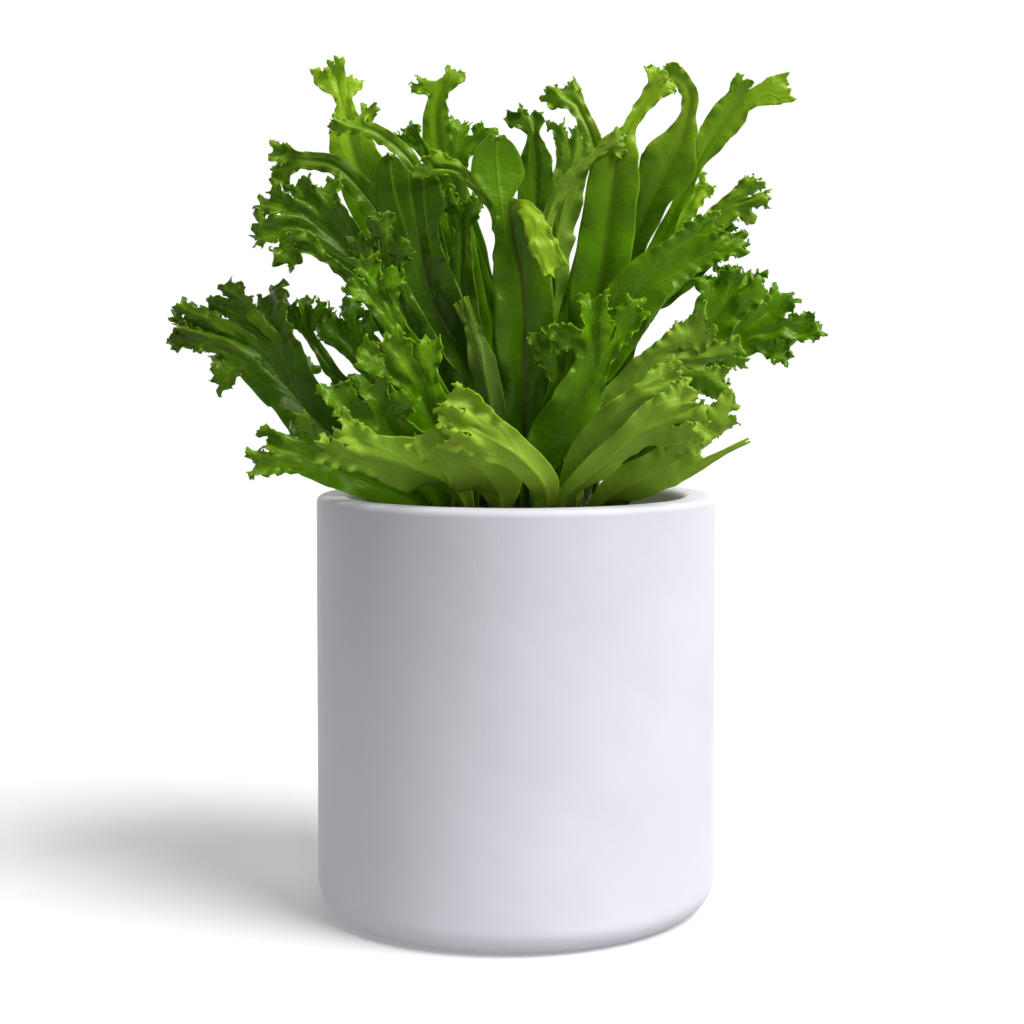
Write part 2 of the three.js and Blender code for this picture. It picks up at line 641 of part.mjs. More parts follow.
    line: [[-22, 25, 58], [-34, 58, 86], [-40, 78, 100]],
    lobes: [[-52, 92, 110, 6], [-36, 96, 112, 6]] },
  { root: [4, 7], width: 24,
    line: [[-42, 12, 50], [-64, 32, 76], [-76, 45, 92]],
    lobes: [[-92, 52, 102, 6], [-76, 60, 106, 6]] },
  { root: [4, 8], width: 24,
    line: [[-54, 16, 30], [-80, 34, 46], [-98, 46, 56]],
    lobes: [[-116, 54, 62, 6], [-106, 66, 64, 6]] },
  { root: [4, 9], width: 8, face: FRONT,
    line: [[-58, 26, 6], [-88, 56, 8], [-104, 80, 8]],
    lobes: [[-114, 93, 6, 4], [-106, 98, 12, 4], [-96, 94, 8, 4]] },
  { root: [4, 10], width: 27, face: FRONT, neck: 1.3,
    line: [[-56, 6, -10], [-80, 20, -12], [-99, 35, -14], [-113, 52, -14], [-125, 70, -12]],
    lobes: [[-151, 60, -16, 7], [-172, 81, -14, 5], [-171, 92, -10, 6], [-149, 101, -8, 8],
      [-124, 97, -6, 8]] },
  { root: [4, 11], width: 20, face: FRONT, neck: 1.1,
    line: [[-52, -2, -34], [-73, 6, -44], [-91, 13, -48], [-104, 20, -50]],
    lobes: [[-134, 17, -52, 6], [-127, 28, -50, 6], [-112, 35, -48, 5]] },
  { root: [4, 12], width: 26, face: FRONT,
    line: [[-42, 8, -46], [-58, 24, -58], [-66, 36, -60]],
    lobes: [[-90, 52, -58, 6], [-72, 55, -62, 6], [-56, 48, -66, 5]] },
  { root: [4, 13], width: 28, face: BACK,
    line: [[-30, 1, -51], [-50, 12, -69], [-72, 19, -75]],
    lobes: [[-88, 32, -72, 6], [-98, 24, -76, 5]] },
  { root: [4, 14], width: 34, face: BACK,
    line: [[-9, 0, -59], [-17, 10, -74], [-27, 18, -82]],
    lobes: [[-27, 38, -82, 6], [-47, 29, -88, 6]] },
  { root: [4, 15], width: 16, face: BACK, neck: 1.3,
    line: [[15, -5, -62], [13, 6, -78], [2, 18, -86], [-12, 27, -88]],
    lobes: [[-33, 50, -88, 5], [-38, 40, -92, 4], [-34, 29, -92, 5]] },
  { root: [4, 16], width: 14, face: BACK, neck: 1.7,
    line: [[24, -4, -58], [44, 15, -72], [62, 30, -78], [74, 36, -80]],
    lobes: [[87, 34, -84, 5], [96, 42, -82, 6], [90, 51, -76, 6]] },
  { root: [4, 17], width: 17, face: BACK, neck: 1.2,
    line: [[44, -4, -42, 1.2], [62, 6, -52, 1.25], [78, 14, -58]],
    lobes: [[118, 27, -60, 1], [111, 41, -56, 8], [91, 29, -62, 5]] },
  { root: [4, 19], width: 15, face: FRONT, neck: 1.6,
    line: [[51, 24, -12], [65, 45, -14], [82, 65, -16], [95, 81, -16], [103, 94, -16]],
    lobes: [[97, 109, -14, 6], [110, 112, -16, 6], [121, 104, -20, 6]] },
  { root: [4, 18], width: 19, face: FRONT, neck: 0.8,
    line: [[50, -2, -28, 1.2], [57, 13, -34], [67, 28, -38]],
    lobes: [[81, 38, -38, 4], [84, 24, -42, 4]] },
].map((frond, index) => ({ ...frond, seed: index + 1 }));

function addPiece(group, name, geometry, color, roughness) {
  const material = new THREE.MeshStandardMaterial({ color, roughness, metalness: 0 });
  const mesh = new THREE.Mesh(geometry, material);
  mesh.name = name;
  group.add(mesh);
}

const fern = new THREE.Group();
addPiece(fern, "pot", potGeometry(), 0xe9e9ee, 0.85);
addPiece(fern, "soil", soilGeometry(), 0x2b2018, 1);
addPiece(fern, "crown", crownGeometry(FRONDS), 0x4a3a20, 0.9);
FRONDS.forEach((frond) => {
  const name = `frond_${String(frond.seed).padStart(2, "0")}`;
  addPiece(fern, name, solidFromSheet(frondSheet(frond)), 0x4f8a12, 0.4);
});

export default fern;
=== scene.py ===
"""A crested bird's nest fern in a plain cylinder pot: leaves, pot, soil and studio."""

import json
import math

import bmesh
import bpy
import numpy as np
from mathutils import Matrix, Vector, noise

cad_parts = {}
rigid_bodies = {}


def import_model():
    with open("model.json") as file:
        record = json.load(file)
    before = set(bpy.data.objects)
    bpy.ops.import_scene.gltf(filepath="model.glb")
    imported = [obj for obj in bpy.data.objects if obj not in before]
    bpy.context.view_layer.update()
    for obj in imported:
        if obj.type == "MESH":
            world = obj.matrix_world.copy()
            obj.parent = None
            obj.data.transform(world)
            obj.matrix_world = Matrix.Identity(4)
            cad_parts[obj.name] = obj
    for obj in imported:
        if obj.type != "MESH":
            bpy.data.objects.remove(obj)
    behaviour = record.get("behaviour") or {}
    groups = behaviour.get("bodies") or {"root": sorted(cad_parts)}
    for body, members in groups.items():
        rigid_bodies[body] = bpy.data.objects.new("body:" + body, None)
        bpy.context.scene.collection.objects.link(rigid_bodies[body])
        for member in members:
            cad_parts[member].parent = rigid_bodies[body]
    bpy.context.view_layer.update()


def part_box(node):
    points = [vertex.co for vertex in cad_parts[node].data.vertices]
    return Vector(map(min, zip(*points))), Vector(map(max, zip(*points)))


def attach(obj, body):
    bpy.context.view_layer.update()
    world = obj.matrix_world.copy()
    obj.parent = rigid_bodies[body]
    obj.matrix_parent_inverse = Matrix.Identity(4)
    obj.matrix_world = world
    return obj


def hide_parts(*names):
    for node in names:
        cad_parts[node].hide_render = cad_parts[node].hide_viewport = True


bl_info = {
    "name": "Crested Fern in a Pot",
    "version": (1, 0, 0),
    "blender": (4, 5, 0),
    "location": "3D View > Sidebar > Fern",
    "description": "Builds a crested bird's nest fern with its pot, soil and studio",
    "category": "Add Mesh",
}

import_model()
MM = 0.001

# The solids' own values, in millimetres: pot, soil and crown
POT_HEIGHT = 205
SOIL_TOP = 190
CROWN_TOP = 198
CROWN_RADIUS = 54
ROOT_DEPTH = 5
RINGS = [(10, 7, 0), (22, 12, 15), (34, 20, 0), (46, 20, 9)]

# The strap of a frond
ROOT_HALF = 3.5
FOLD = math.radians(26)
FOLD_LEFT = 0.5
WAVE = 0.12
WAVE_TURNS = 15
NECK = 0.7
NECK_FROM = 0.76
GROWN = (0.05, 0.6)
WAVED = (0.15, 0.5)
FACE_TURNED = 0.8
FACE_INWARD = 0.7
FACE_AWAY = -0.2
SOFT_FOLD = (0.004, 0.063)
SHARE_STEP = 0.01

# The lobes and frills of its crest
LOBE_SHARE = 0.68
LOBE_WIDEN = 1.35
SPOON_SHARE = 0.97
SPOON_TIP = 1.0
SPOON_WIDEN = 1.15
SPOON_MIDDLE = 0.55
HANDLE = 0.36
LOBE_BEND = 1.05
CURL = 0.5
TWIST = 0.25
WARP = 0.12
WEB = 0.46
FRILL_SPREAD = 0.55
FRILL_HALF = 0.42
NOTCH = 0.5

# The front view that the frond points are given in: distance and height of the eye
SIGHT = 895
EYE = 274
FRONT = (0, -1, 0.15)
BACK = (0, 1, 0.15)

# Finer than the solids: distance of rows on the strap, near its crest and on the crest
STRAP_ROW = 4.5
NECK_ROW = 2.2
CREST_ROW = 0.95
PLAIN_PART, NECK_PART = 0.72, 0.28
COLUMNS = {1: 20, 2: 12, 3: 10, 4: 8, 5: 8}
PATH_SAMPLES = 700
# Thickness of the strap, the crest and the midrib, its half width, and where it starts to fork
STRAP_THICK = 0.55
CREST_THICK = 0.5
RIB = 2.0
RIB_HALF = 1.1
FORK_FROM = 0.7

# How far a web joins the lobes and frills of a crest: share of their rows, and the widest gap
LOBE_WEB = (0.75, 1.0)
FRILL_WEB = (0.5, 0.95)
WEB_GAP = (5.0, 9.0)

# Relief of the blade, in millimetres. A span is where a form fades in, or an end where it fades out
PLEAT = 2.0
PLEATS = 0.95
PLEAT_SPAN = (-6, 20)
PLEAT_SHARP = 0.97
RUFFLE = 1.7
RUFFLE_STEP = 8
SWAY = 1.5
SWAY_STEP = 23
CRUMPLE = 1.8
CRUMPLE_STEP = 9
CRUMPLE_SPAN = (-12, 14)
PILLOW = 1.3
PILLOW_HALF = 12
DRIFT = 2.2
DRIFT_STEP = 34
DRIFT_SPAN = (20, 90)
STRAP_SPAN = (30, 80)
STRAP_END = (-10, 0)

# The teeth and the larger lobules of the crest's edge, and how many rows of the blade follow them
TOOTH = 1.8
TOOTH_STEP = 2.6
TOOTH_LEAN = 0.68
LOBULE = 3.4
LOBULE_STEP = 9.5
TOOTHED_SPAN = (-4, 10)
TOOTHED_LEVEL = (0.3, 0.95)
TOOTH_STRAY = (2.2, 6.1)
LOBULE_STRAY = (3, 11)
TOOTH_SIZE = (0.55, 0.45)
TOOTH_LOW = 0.25
LOBULE_SIZE = (0.65, 0.45)
LOBULE_LOW = 0.4
SPREAD = 4

# The small curled fingers along the crest's edge
FINGER_FROM = 3
FINGER_FULL = 16
FINGER_CALM = 0.4
FINGER_CURL = 0.8
FINGER_LEVEL = 0.55
FINGER_GAP = (3.5, 13.0)
FINGER_LENGTH = (0.7, 1.7)
LONG_FINGER = (2.0, 3.4)
LONG_SHARE = 0.1
FINGER_TURN = (20, 75)
FINGER_TAPER = (0.42, 0.36, 0.4, 0.24)
WIDEST_FINGER = 1.5
LONGEST_EDGE = 3.5

# How fresh a frond is, from 0 for deep green to 1 for yellow green, and how the others vary
FRESH_REST = (0.35, 0.15)
FRESH = {
    2: 0.3, 3: 0.4, 4: 0.3, 5: 0.45, 6: 0.2, 7: 0.45, 8: 0.25, 9: 0.25, 10: 0.1, 11: 0.1, 12: 0.45,
    14: 0.08, 15: 0.1, 16: 0.4, 17: 0.28, 18: 0.2, 19: 0.45, 20: 0.4, 21: 0.5, 22: 0.7, 28: 0.25,
    29: 0.12, 31: 0.35, 32: 0.5, 33: 0.1, 34: 0.35, 35: 0.62, 36: 0.5, 37: 0.36, 38: 0.28, 39: 0.2,
    46: 0.1, 47: 0.08, 48: 0.5, 49: 0.3, 50: 0.62, 51: 0.5, 52: 0.85, 53: 0.62, 54: 0.66, 55: 0.45,
    56: 0.15,
}
# How brown the edge of a frond's crest is, where it is
BROWN = {28: 0.35, 29: 0.35, 46: 0.5, 47: 0.65, 48: 0.9, 49: 0.25}
# Fronds with ripe spore lines on the underside
SPORES = {33: 1.0, 50: 0.3}
# How dark and brown the midrib is, where it isn't pale
DARK_RIB = {17: 1.0, 19: 0.4, 14: 0.6, 32: 0.3, 34: 0.3}
# Painted sheen: how far the upper end of a strap is lightened toward young green, where it is
PAINTED_SHEEN = {
    1: 0.3, 3: 0.3, 8: 0.55, 12: 0.7, 13: 0.25, 19: 0.6, 20: 0.25, 21: 0.45, 22: 0.7, 28: 0.15,
    16: 0.3,
}
# Lobes that are much brighter than their frond
GLOW = {(17, 1): 0.62, (12, 2): 0.3}
# Lobes that lie smooth, from 0 for a ruffled one to 1 for a plain one
CALM = {
    (33, 0): 0.95, (33, 1): 0.95, (21, 0): 0.55, (21, 1): 0.75, (12, 0): 0.6, (12, 1): 0.6,
    (12, 2): 0.6, (17, 0): 0.9, (17, 1): 0.5, (3, 0): 0.4, (3, 1): 0.5, (9, 0): 0.3, (8, 0): 0.3,
    (54, 0): 0.95, (54, 1): 0.4,
}
# How thickly a crest is set with fingers, where it isn't 1
CURLY = {
    8: 0.5, 12: 0.4, 17: 0.7, 20: 1.4, 22: 1.3, 29: 1.1, 34: 1.5, 35: 1.3, 36: 1.2, 47: 0.8,
    48: 0.6,
}

# Where along a blade its crest's look and the painted sheen on its end come in, from the crest's
# root
CREST_SPAN = (-12, 22)
PAINTED_SHEEN_SPAN = (-70, 0)
UV_SIZE = (50, 300)

# The looks of a blade: how strong its pleats, midribs and fine veins show, and how dull it is
SIDES = {
    "upper": (0.1, 0.08, 0.018, 0.2),
    "lower": (0.16, 0.28, 0.1, 0.34),
    "edge": (0.1, 0.08, 0.018, 0.4),
}
LEAF_SHINE = {
    "Subsurface_Weight": 0.4, "Subsurface_Radius": (0.5, 1.0, 0.05), "Subsurface_Scale": 0.0014,
    "Specular_IOR_Level": 0.26, "Specular_Tint": (0.9, 1.0, 0.45, 1.0),
}
# Its lines: how far veins slant, and how far apart veins, spore lines and pleats are
VEIN_SLANT = 0.7
VEIN_STEP = 1.7
SPORE_STEP = 2.1
FAN_STEP = 0.2
# How fine its patches, specks and dimples are
PATCHES = 30.0
SPECKS = 420.0
DIMPLES = 140.0
# Fixed colours
RIB_BROWN = (0.055, 0.06, 0.008)
STALK_BROWN = (0.05, 0.032, 0.012)
DRY_BROWN = (0.13, 0.075, 0.02)
SPORE_BROWN = (0.22, 0.26, 0.10)
SPECK_GREY = (0.35, 0.34, 0.36)

# Pot, soil and crown, in metres. Points less than LEVEL apart count as level
LEVEL = 1e-4
POT_RADIUS = 0.1
INNER_ROUND = 0.008
CROWN_ROUND = 0.004
CROWN_FACE = 0.050
CROWN_PLAIN = 0.003
# How many corners each cylinder starts with, and how many rings the lumpy tops are cut into
CORNERS = {"pot": 160, "soil": 96, "crown": 80}
SOIL_RINGS = 22
CROWN_RINGS = 18
# How many millimetres the lumpy tops start below those of the solids
LUMP_ROOM = 1
# Lumps: height in metres, fineness and seed
SOIL_LUMPS = (0.0016, 90, 3)
CROWN_LUMPS = (0.0014, 150, 7)
# Loose crumbs: reach as a share of the pot's radius, size in metres, and shares of the size
CRUMB_REACH = (0.5565, 0.80)
CRUMB_SIZE = (0.0007, 0.0021)
CRUMB_LIFT = 0.3
CRUMB_UNEVEN = 0.28
# Fibres: root, length and half width in millimetres, and shares of the crown, width and lean
FIBRE_ROOT = 2
FIBRE_LENGTH = (4, 12)
FIBRE_HALF = 0.36
FIBRE_REACH = 0.96
FIBRE_TAPER = 0.25
FIBRE_BEND = 0.28
FIBRE_STEPS = 3

# The studio: places and sizes in metres, angles in degrees, and the lens in millimetres
FLOOR_SIZE = 24
KEY_PLACE = (0.95, -0.50, 1.25)
KEY_ANGLE = 36
LOW_PLACE = (0.35, -1.6, 0.18)
LOW_AIM = (0, 0, -0.05)
LOW_CONE = 13
LOW_SIZE = 0.16
LENS = 62.51
LENS_SHIFT = (-0.00375, -0.0754)
CAMERA_PLACE = (0, -0.8955, 0.274)
CAMERA_TILT = 2.52


def plan(ring, place, width, line, lobes, face=None, neck=NECK):
    """A frond: ring and place of its root, width, points of its strap, and tips of its crest.

    A point is right of the pot's axis, above its rim and behind its axis, as seen from the front.
    A fourth number widens the strap there. A tip's fourth is its half width, a fifth its belly."""
    return dict(root=(ring, place), width=width, line=line, lobes=lobes, face=face, neck=neck)


FRONDS = [
    # tall and upright, from the middle of the crown
    plan(1, 0, 11, [(20, 60, 8), (35, 120, 14), (42, 158, 16), (38, 178, 18), (31, 193, 20)],
         [(17, 201, 18, 4), (26, 204, 24, 4)], FRONT, 0.8),
    plan(2, 1, 20, [(14, 60, 24), (18, 115, 30), (23, 140, 34), (29, 167, 34)],
         [(37, 180, 36, 4), (30, 183, 34, 4), (21, 185, 32, 3)], BACK, 0.9),
    plan(1, 2, 20, [(-12, 60, 20), (-24, 120, 26), (-37, 165, 26), (-40, 186, 24, 0.7),
          (-39, 199, 24, 0.5)], [(-50, 206, 20, 3), (-29, 212, 26, 4)], FRONT, 1),
    plan(1, 3, 10, [(-7, 60, 16), (-22, 120, 18), (-38, 158, 14), (-47, 173, 12)],
         [(-59, 178, 10, 3), (-54, 184, 14, 4)], FRONT),
    plan(1, 4, 12, [(-15, 60, 8), (-25, 120, 7), (-31, 158, 0), (-28, 171, -4)],
         [(-27, 187, -2, 4), (-15, 180, -8, 5)], FRONT, 1),
    plan(1, 5, 16, [(-12, 45, -3), (-26, 90, -4), (-27, 132, -5)],
         [(-34, 150, -8, 4), (-22, 147, -8, 4)], FRONT, 0.6),
    plan(1, 6, 7, [(8, 60, -6), (12, 120, -8), (20, 148, -8), (35, 167, -10), (46, 174, -10)],
         [(54, 172, -8, 3), (53, 181, -10, 3)], BACK),
    # the second ring
    plan(2, 0, 30, [(30, 60, 16, 0.8), (52, 110, 22, 0.6), (66, 143, 24, 0.6), (77, 166, 24),
          (84, 181, 24, 0.5), (86, 190, 24, 0.28), (87, 199, 24, 0.3), (83, 207, 24, 0.28)],
         [(76, 213, 20, 4)], FRONT, 1),
    plan(1, 1, 20, [(8, 50, 12), (11, 110, 14), (10, 152, 12), (10, 166, 11, 0.85),
          (9, 180, 10, 0.35)], [(-2, 191, 8, 4), (9, 190, 13, 4)], FRONT, 1),
    plan(2, 2, 22, [(4, 60, 34), (6, 110, 46), (2, 138, 56)], [(-8, 152, 60, 5), (8, 150, 62, 5)]),
    plan(2, 3, 22, [(-12, 60, 30), (-28, 110, 42), (-36, 138, 52)],
         [(-46, 156, 56, 5), (-34, 156, 58, 5)]),
    plan(2, 4, 27, [(-30, 60, 20, 0.8), (-54, 110, 30, 0.8), (-72, 150, 34, 1.1),
          (-82, 174, 34, 0.9), (-86, 197, 34, 0.35)],
         [(-97, 213, 30, 5), (-90, 216, 34, 4), (-81, 207, 38, 4)], FRONT, 1),
    plan(2, 5, 8, [(-24, 60, 2), (-37, 115, 2), (-46, 152, 0), (-53, 167, -2), (-66, 179, -2),
          (-76, 184, -2)], [(-92, 186, -4, 3), (-73, 193, 2, 3)], FRONT, 1),
    plan(2, 6, 30, [(-22, 55, -15), (-42, 98, -24), (-49, 128, -28)],
         [(-63, 170, -28, 2, 7), (-45, 162, -26, 2, 7)], FRONT),
    plan(2, 7, 18, [(-28, 40, -30), (-52, 82, -40), (-64, 110, -44)],
         [(-76, 128, -42, 5), (-68, 137, -46, 6), (-58, 124, -48, 5)], FRONT),
    plan(2, 8, 9, [(-8, 60, -22), (-6, 115, -24), (-10, 143, -28), (-27, 161, -30)],
         [(-50, 163, -34, 3), (-44, 169, -36, 3)], FRONT),
    plan(2, 9, 30, [(4, 40, -27), (4, 97, -34), (-3, 142, -36)],
         [(-9, 179, -36, 3, 10), (20, 112, -52, 5)], FRONT, 0.5),
    plan(2, 10, 14, [(17, 30, -36), (22, 55, -44)], [(13, 80, -46, 5), (27, 71, -43, 4)], FRONT),
    plan(2, 11, 26, [(20, 30, -8), (35, 70, -8, 1.1), (43, 110, -6, 1.15), (48, 150, -4, 1.05),
          (51, 170, -3, 0.9), (57, 184, -2, 0.25), (63, 193, 0, 0.28), (69, 201, 1, 0.4)],
         [(73, 212, 0, 5), (77, 205, 4, 4)], FRONT, 1),
    # the third ring
    plan(3, 0, 18, [(34, 48, 0), (62, 92, 2), (94, 131, 2), (108, 144, 0)],
         [(122, 156, 0, 4), (126, 148, -2, 4), (119, 140, 2, 4)], FRONT),
    plan(3, 1, 17, [(34, 50, 28, 0.9), (60, 100, 36, 0.7), (80, 142, 38, 0.5), (91, 165, 38, 0.4),
          (98, 178, 38, 0.95), (106, 189, 37, 1.1), (112, 197, 36, 0.9)],
         [(114, 208, 32, 4), (137, 204, 36, 6)], FRONT, 1),
    plan(3, 2, 15, [(34, 40, 40), (55, 85, 48), (76, 125, 55), (87, 144, 54)],
         [(88, 156, 52, 4), (96, 157, 56, 4)], FRONT),
    plan(3, 3, 24, [(24, 45, 42), (40, 90, 62), (48, 118, 74)],
         [(46, 142, 84, 6), (60, 138, 82, 6)]),
    plan(3, 5, 26, [(5, 45, 48), (8, 90, 68), (8, 118, 86)], [(-2, 136, 96, 6), (20, 136, 96, 6)]),
    plan(3, 6, 24, [(-14, 45, 46), (-30, 90, 62), (-40, 112, 74)],
         [(-52, 130, 80, 6), (-38, 132, 82, 6)]),
    plan(3, 7, 24, [(-30, 40, 38), (-50, 80, 58), (-62, 104, 70)],
         [(-76, 120, 74, 6), (-62, 126, 80, 6)]),
    plan(3, 8, 20, [(-40, 30, 26), (-62, 56, 38), (-78, 74, 42)],
         [(-95, 89, 44, 7), (-84, 97, 46, 7), (-73, 92, 48, 6)], FRONT, 1),
    plan(3, 9, 13, [(-40, 66, 8), (-60, 124, 8), (-78, 153, 6), (-92, 165, 4), (-108, 167, 0)],
         [(-121, 159, 2, 4), (-121, 171, -2, 4)], FRONT),
    plan(3, 10, 30, [(-44, 40, -4, 0.5), (-62, 84, -10, 0.5), (-76, 112, -14, 0.5),
          (-88, 126, -16, 0.8), (-99, 136, -16)],
         [(-117, 117, -22, 6), (-129, 131, -20, 8), (-125, 149, -14, 8), (-108, 157, -12, 8),
          (-95, 154, -12, 6)], FRONT, 1),
    plan(3, 11, 6, [(-40, 35, -20), (-62, 80, -28), (-83, 108, -30), (-95, 118, -31)],
         [(-110, 128, -32, 4)], FRONT),
    plan(3, 12, 14, [(-32, 30, -38), (-54, 72, -50), (-64, 92, -52)],
         [(-83, 107, -54, 5), (-76, 118, -52, 5), (-62, 110, -56, 4)], FRONT),
    plan(3, 13, 26, [(-28, 15, -38), (-42, 38, -49), (-48, 54, -54)],
         [(-79, 71, -56, 6), (-64, 79, -60, 6), (-45, 76, -58, 5)], FRONT),
    plan(3, 14, 14, [(-12, 40, -38), (-18, 70, -42), (-23, 86, -40)],
         [(-25, 99, -42, 1), (-29, 96, -40, 2)], BACK, 0.5),
    plan(3, 16, 24, [(14, 20, -41), (30, 45, -49), (39, 66, -50)],
         [(22, 84, -56, 5), (40, 100, -50, 6), (60, 92, -48, 6)], FRONT),
    plan(3, 17, 16, [(30, 12, -47), (48, 36, -60), (64, 50, -64)],
         [(88, 50, -66, 5), (80, 62, -62, 5)], BACK),
    plan(3, 18, 20, [(38, 28, -34), (58, 52, -42), (73, 65, -44)],
         [(106, 56, -48, 7), (113, 70, -46, 8), (98, 84, -44, 8)], BACK, 1),
    plan(3, 19, 28, [(29, 40, -24), (47, 78, -30), (64, 104, -32), (84, 119, -30)],
         [(101, 134, -28, 6), (107, 126, -30, 6)], FRONT, 0.8),
    # the low outer ring
    plan(4, 0, 20, [(60, 30, 6), (86, 57, 8), (104, 75, 6), (115, 82, 4)],
         [(106, 113, 14, 5), (119, 113, 10, 5), (137, 101, 6, 6), (151, 84, 2, 6),
          (137, 71, -2, 5)], FRONT, 1.3),
    plan(4, 1, 18, [(44, 30, 14, 0.7), (52, 66, 16, 0.7), (64, 93, 18, 0.8), (84, 110, 16, 1.1),
          (98, 122, 14)], [(109, 136, 14, 5), (114, 129, 16, 4)], FRONT),
    plan(4, 2, 24, [(48, 18, 42), (74, 38, 66), (86, 50, 80)], [(96, 68, 90, 6), (104, 56, 88, 6)]),
    plan(4, 3, 24, [(26, 25, 57), (38, 60, 86), (46, 80, 102)],
         [(42, 98, 114, 6), (60, 92, 114, 6)]),
    plan(4, 4, 26, [(2, 12, 62), (0, 30, 94), (-2, 42, 114)],
         [(-20, 50, 126, 6), (-2, 56, 130, 6), (16, 50, 128, 6)]),
    plan(4, 5, 24, [(-22, 25, 58), (-34, 58, 86), (-40, 78, 100)],
         [(-52, 92, 110, 6), (-36, 96, 112, 6)]),
    plan(4, 7, 24, [(-42, 12, 50), (-64, 32, 76), (-76, 45, 92)],
         [(-92, 52, 102, 6), (-76, 60, 106, 6)]),
    plan(4, 8, 24, [(-54, 16, 30), (-80, 34, 46), (-98, 46, 56)],
         [(-116, 54, 62, 6), (-106, 66, 64, 6)]),
    plan(4, 9, 8, [(-58, 26, 6), (-88, 56, 8), (-104, 80, 8)],
         [(-114, 93, 6, 4), (-106, 98, 12, 4), (-96, 94, 8, 4)], FRONT),
    plan(4, 10, 27, [(-56, 6, -10), (-80, 20, -12), (-99, 35, -14), (-113, 52, -14),
          (-125, 70, -12)],
         [(-151, 60, -16, 7), (-172, 81, -14, 5), (-171, 92, -10, 6), (-149, 101, -8, 8),
          (-124, 97, -6, 8)], FRONT, 1.3),
    plan(4, 11, 20, [(-52, -2, -34), (-73, 6, -44), (-91, 13, -48), (-104, 20, -50)],
         [(-134, 17, -52, 6), (-127, 28, -50, 6), (-112, 35, -48, 5)], FRONT, 1.1),
    plan(4, 12, 26, [(-42, 8, -46), (-58, 24, -58), (-66, 36, -60)],
         [(-90, 52, -58, 6), (-72, 55, -62, 6), (-56, 48, -66, 5)], FRONT),
    plan(4, 13, 28, [(-30, 1, -51), (-50, 12, -69), (-72, 19, -75)],
         [(-88, 32, -72, 6), (-98, 24, -76, 5)], BACK),
    plan(4, 14, 34, [(-9, 0, -59), (-17, 10, -74), (-27, 18, -82)],
         [(-27, 38, -82, 6), (-47, 29, -88, 6)], BACK),
    plan(4, 15, 16, [(15, -5, -62), (13, 6, -78), (2, 18, -86), (-12, 27, -88)],
         [(-33, 50, -88, 5), (-38, 40, -92, 4), (-34, 29, -92, 5)], BACK, 1.3),
    plan(4, 16, 14, [(24, -4, -58), (44, 15, -72), (62, 30, -78), (74, 36, -80)],
         [(87, 34, -84, 5), (96, 42, -82, 6), (90, 51, -76, 6)], BACK, 1.7),
    plan(4, 17, 17, [(44, -4, -42, 1.2), (62, 6, -52, 1.25), (78, 14, -58)],
         [(118, 27, -60, 1), (111, 41, -56, 8), (91, 29, -62, 5)], BACK, 1.2),
    plan(4, 19, 15, [(51, 24, -12), (65, 45, -14), (82, 65, -16), (95, 81, -16), (103, 94, -16)],
         [(97, 109, -14, 6), (110, 112, -16, 6), (121, 104, -20, 6)], FRONT, 1.6),
    plan(4, 18, 19, [(50, -2, -28, 1.2), (57, 13, -34), (67, 28, -38)],
         [(81, 38, -38, 4), (84, 24, -42, 4)], FRONT, 0.8),
]


def draw(seed, index):
    """A number from -1 to 1 that depends only on the seed and the index."""
    return 2 * ((math.sin(seed * 12.9898 + index * 78.233) * 43758.5453) % 1.0) - 1


def pick(seed, index, span):
    return span[0] + (span[1] - span[0]) * (0.5 + 0.5 * draw(seed, index))


def vary(seed, index, middle, spread):
    """A number that lies at most the spread to either side of the middle."""
    return middle + spread * draw(seed, index)


def mix(a, b, share):
    return a + (b - a) * share


def smooth(value, low, high):
    share = np.clip((value - low) / (high - low), 0, 1)
    return share * share * (3 - 2 * share)


def unit(v):
    return v / (np.linalg.norm(v, axis=-1, keepdims=True) + 1e-12)


def seen(place):
    """A point as seen from the front: right of the axis, above the rim and behind the axis."""
    right, above, behind = place[:3]
    reach = 1 + behind / SIGHT
    return np.array([right * reach, behind, EYE + (POT_HEIGHT + above - EYE) * reach])


def root_place(ring, place):
    radius, places, first = RINGS[ring - 1]
    azimuth = math.radians(first + place * 360 / places)
    out = np.array([math.cos(azimuth), math.sin(azimuth), 0.0])
    return out * radius + np.array([0, 0, CROWN_TOP - ROOT_DEPTH]), out


def smooth_path(points, count):
    """Points along the centripetal spline through the given ones."""
    points = np.vstack([2 * points[0] - points[1], points, 2 * points[-1] - points[-2]])
    spans = len(points) - 3
    t = np.linspace(0, spans, count)
    i = np.minimum(t.astype(int), spans - 1)
    w = (t - i)[:, None]
    p0, p1, p2, p3 = (points[i + k] for k in range(4))
    steps = ((p0, p1), (p1, p2), (p2, p3))
    d0, d1, d2 = (np.sqrt(np.linalg.norm(b - a, axis=1))[:, None] for a, b in steps)
    first = ((p1 - p0) / d0 - (p2 - p0) / (d0 + d1) + (p2 - p1) / d1) * d1
    last = ((p2 - p1) / d1 - (p3 - p1) / (d1 + d2) + (p3 - p2) / d2) * d1
    square = -3 * p1 + 3 * p2 - 2 * first - last
    cube = 2 * p1 - 2 * p2 + first + last
    return p1 + w * (first + w * (square + w * cube))


def lengths_along(points):
    """How far along the line each of its points is, as a share, and the line's length."""
    reach = np.concatenate([[0], np.cumsum(np.linalg.norm(np.diff(points, axis=0), axis=1))])
    return reach / reach[-1], reach[-1]


def frame_at(strip, share):
    """The strip's own axes at some shares: along it, across it and out of its upper face."""
    share = np.atleast_1d(np.asarray(share, float))
    ahead = strip.at(np.minimum(1, share + SHARE_STEP))
    along = unit(ahead - strip.at(np.maximum(0, share - SHARE_STEP)))
    side = unit(np.cross(along, strip.face(share)))
    return along, side, np.cross(side, along)


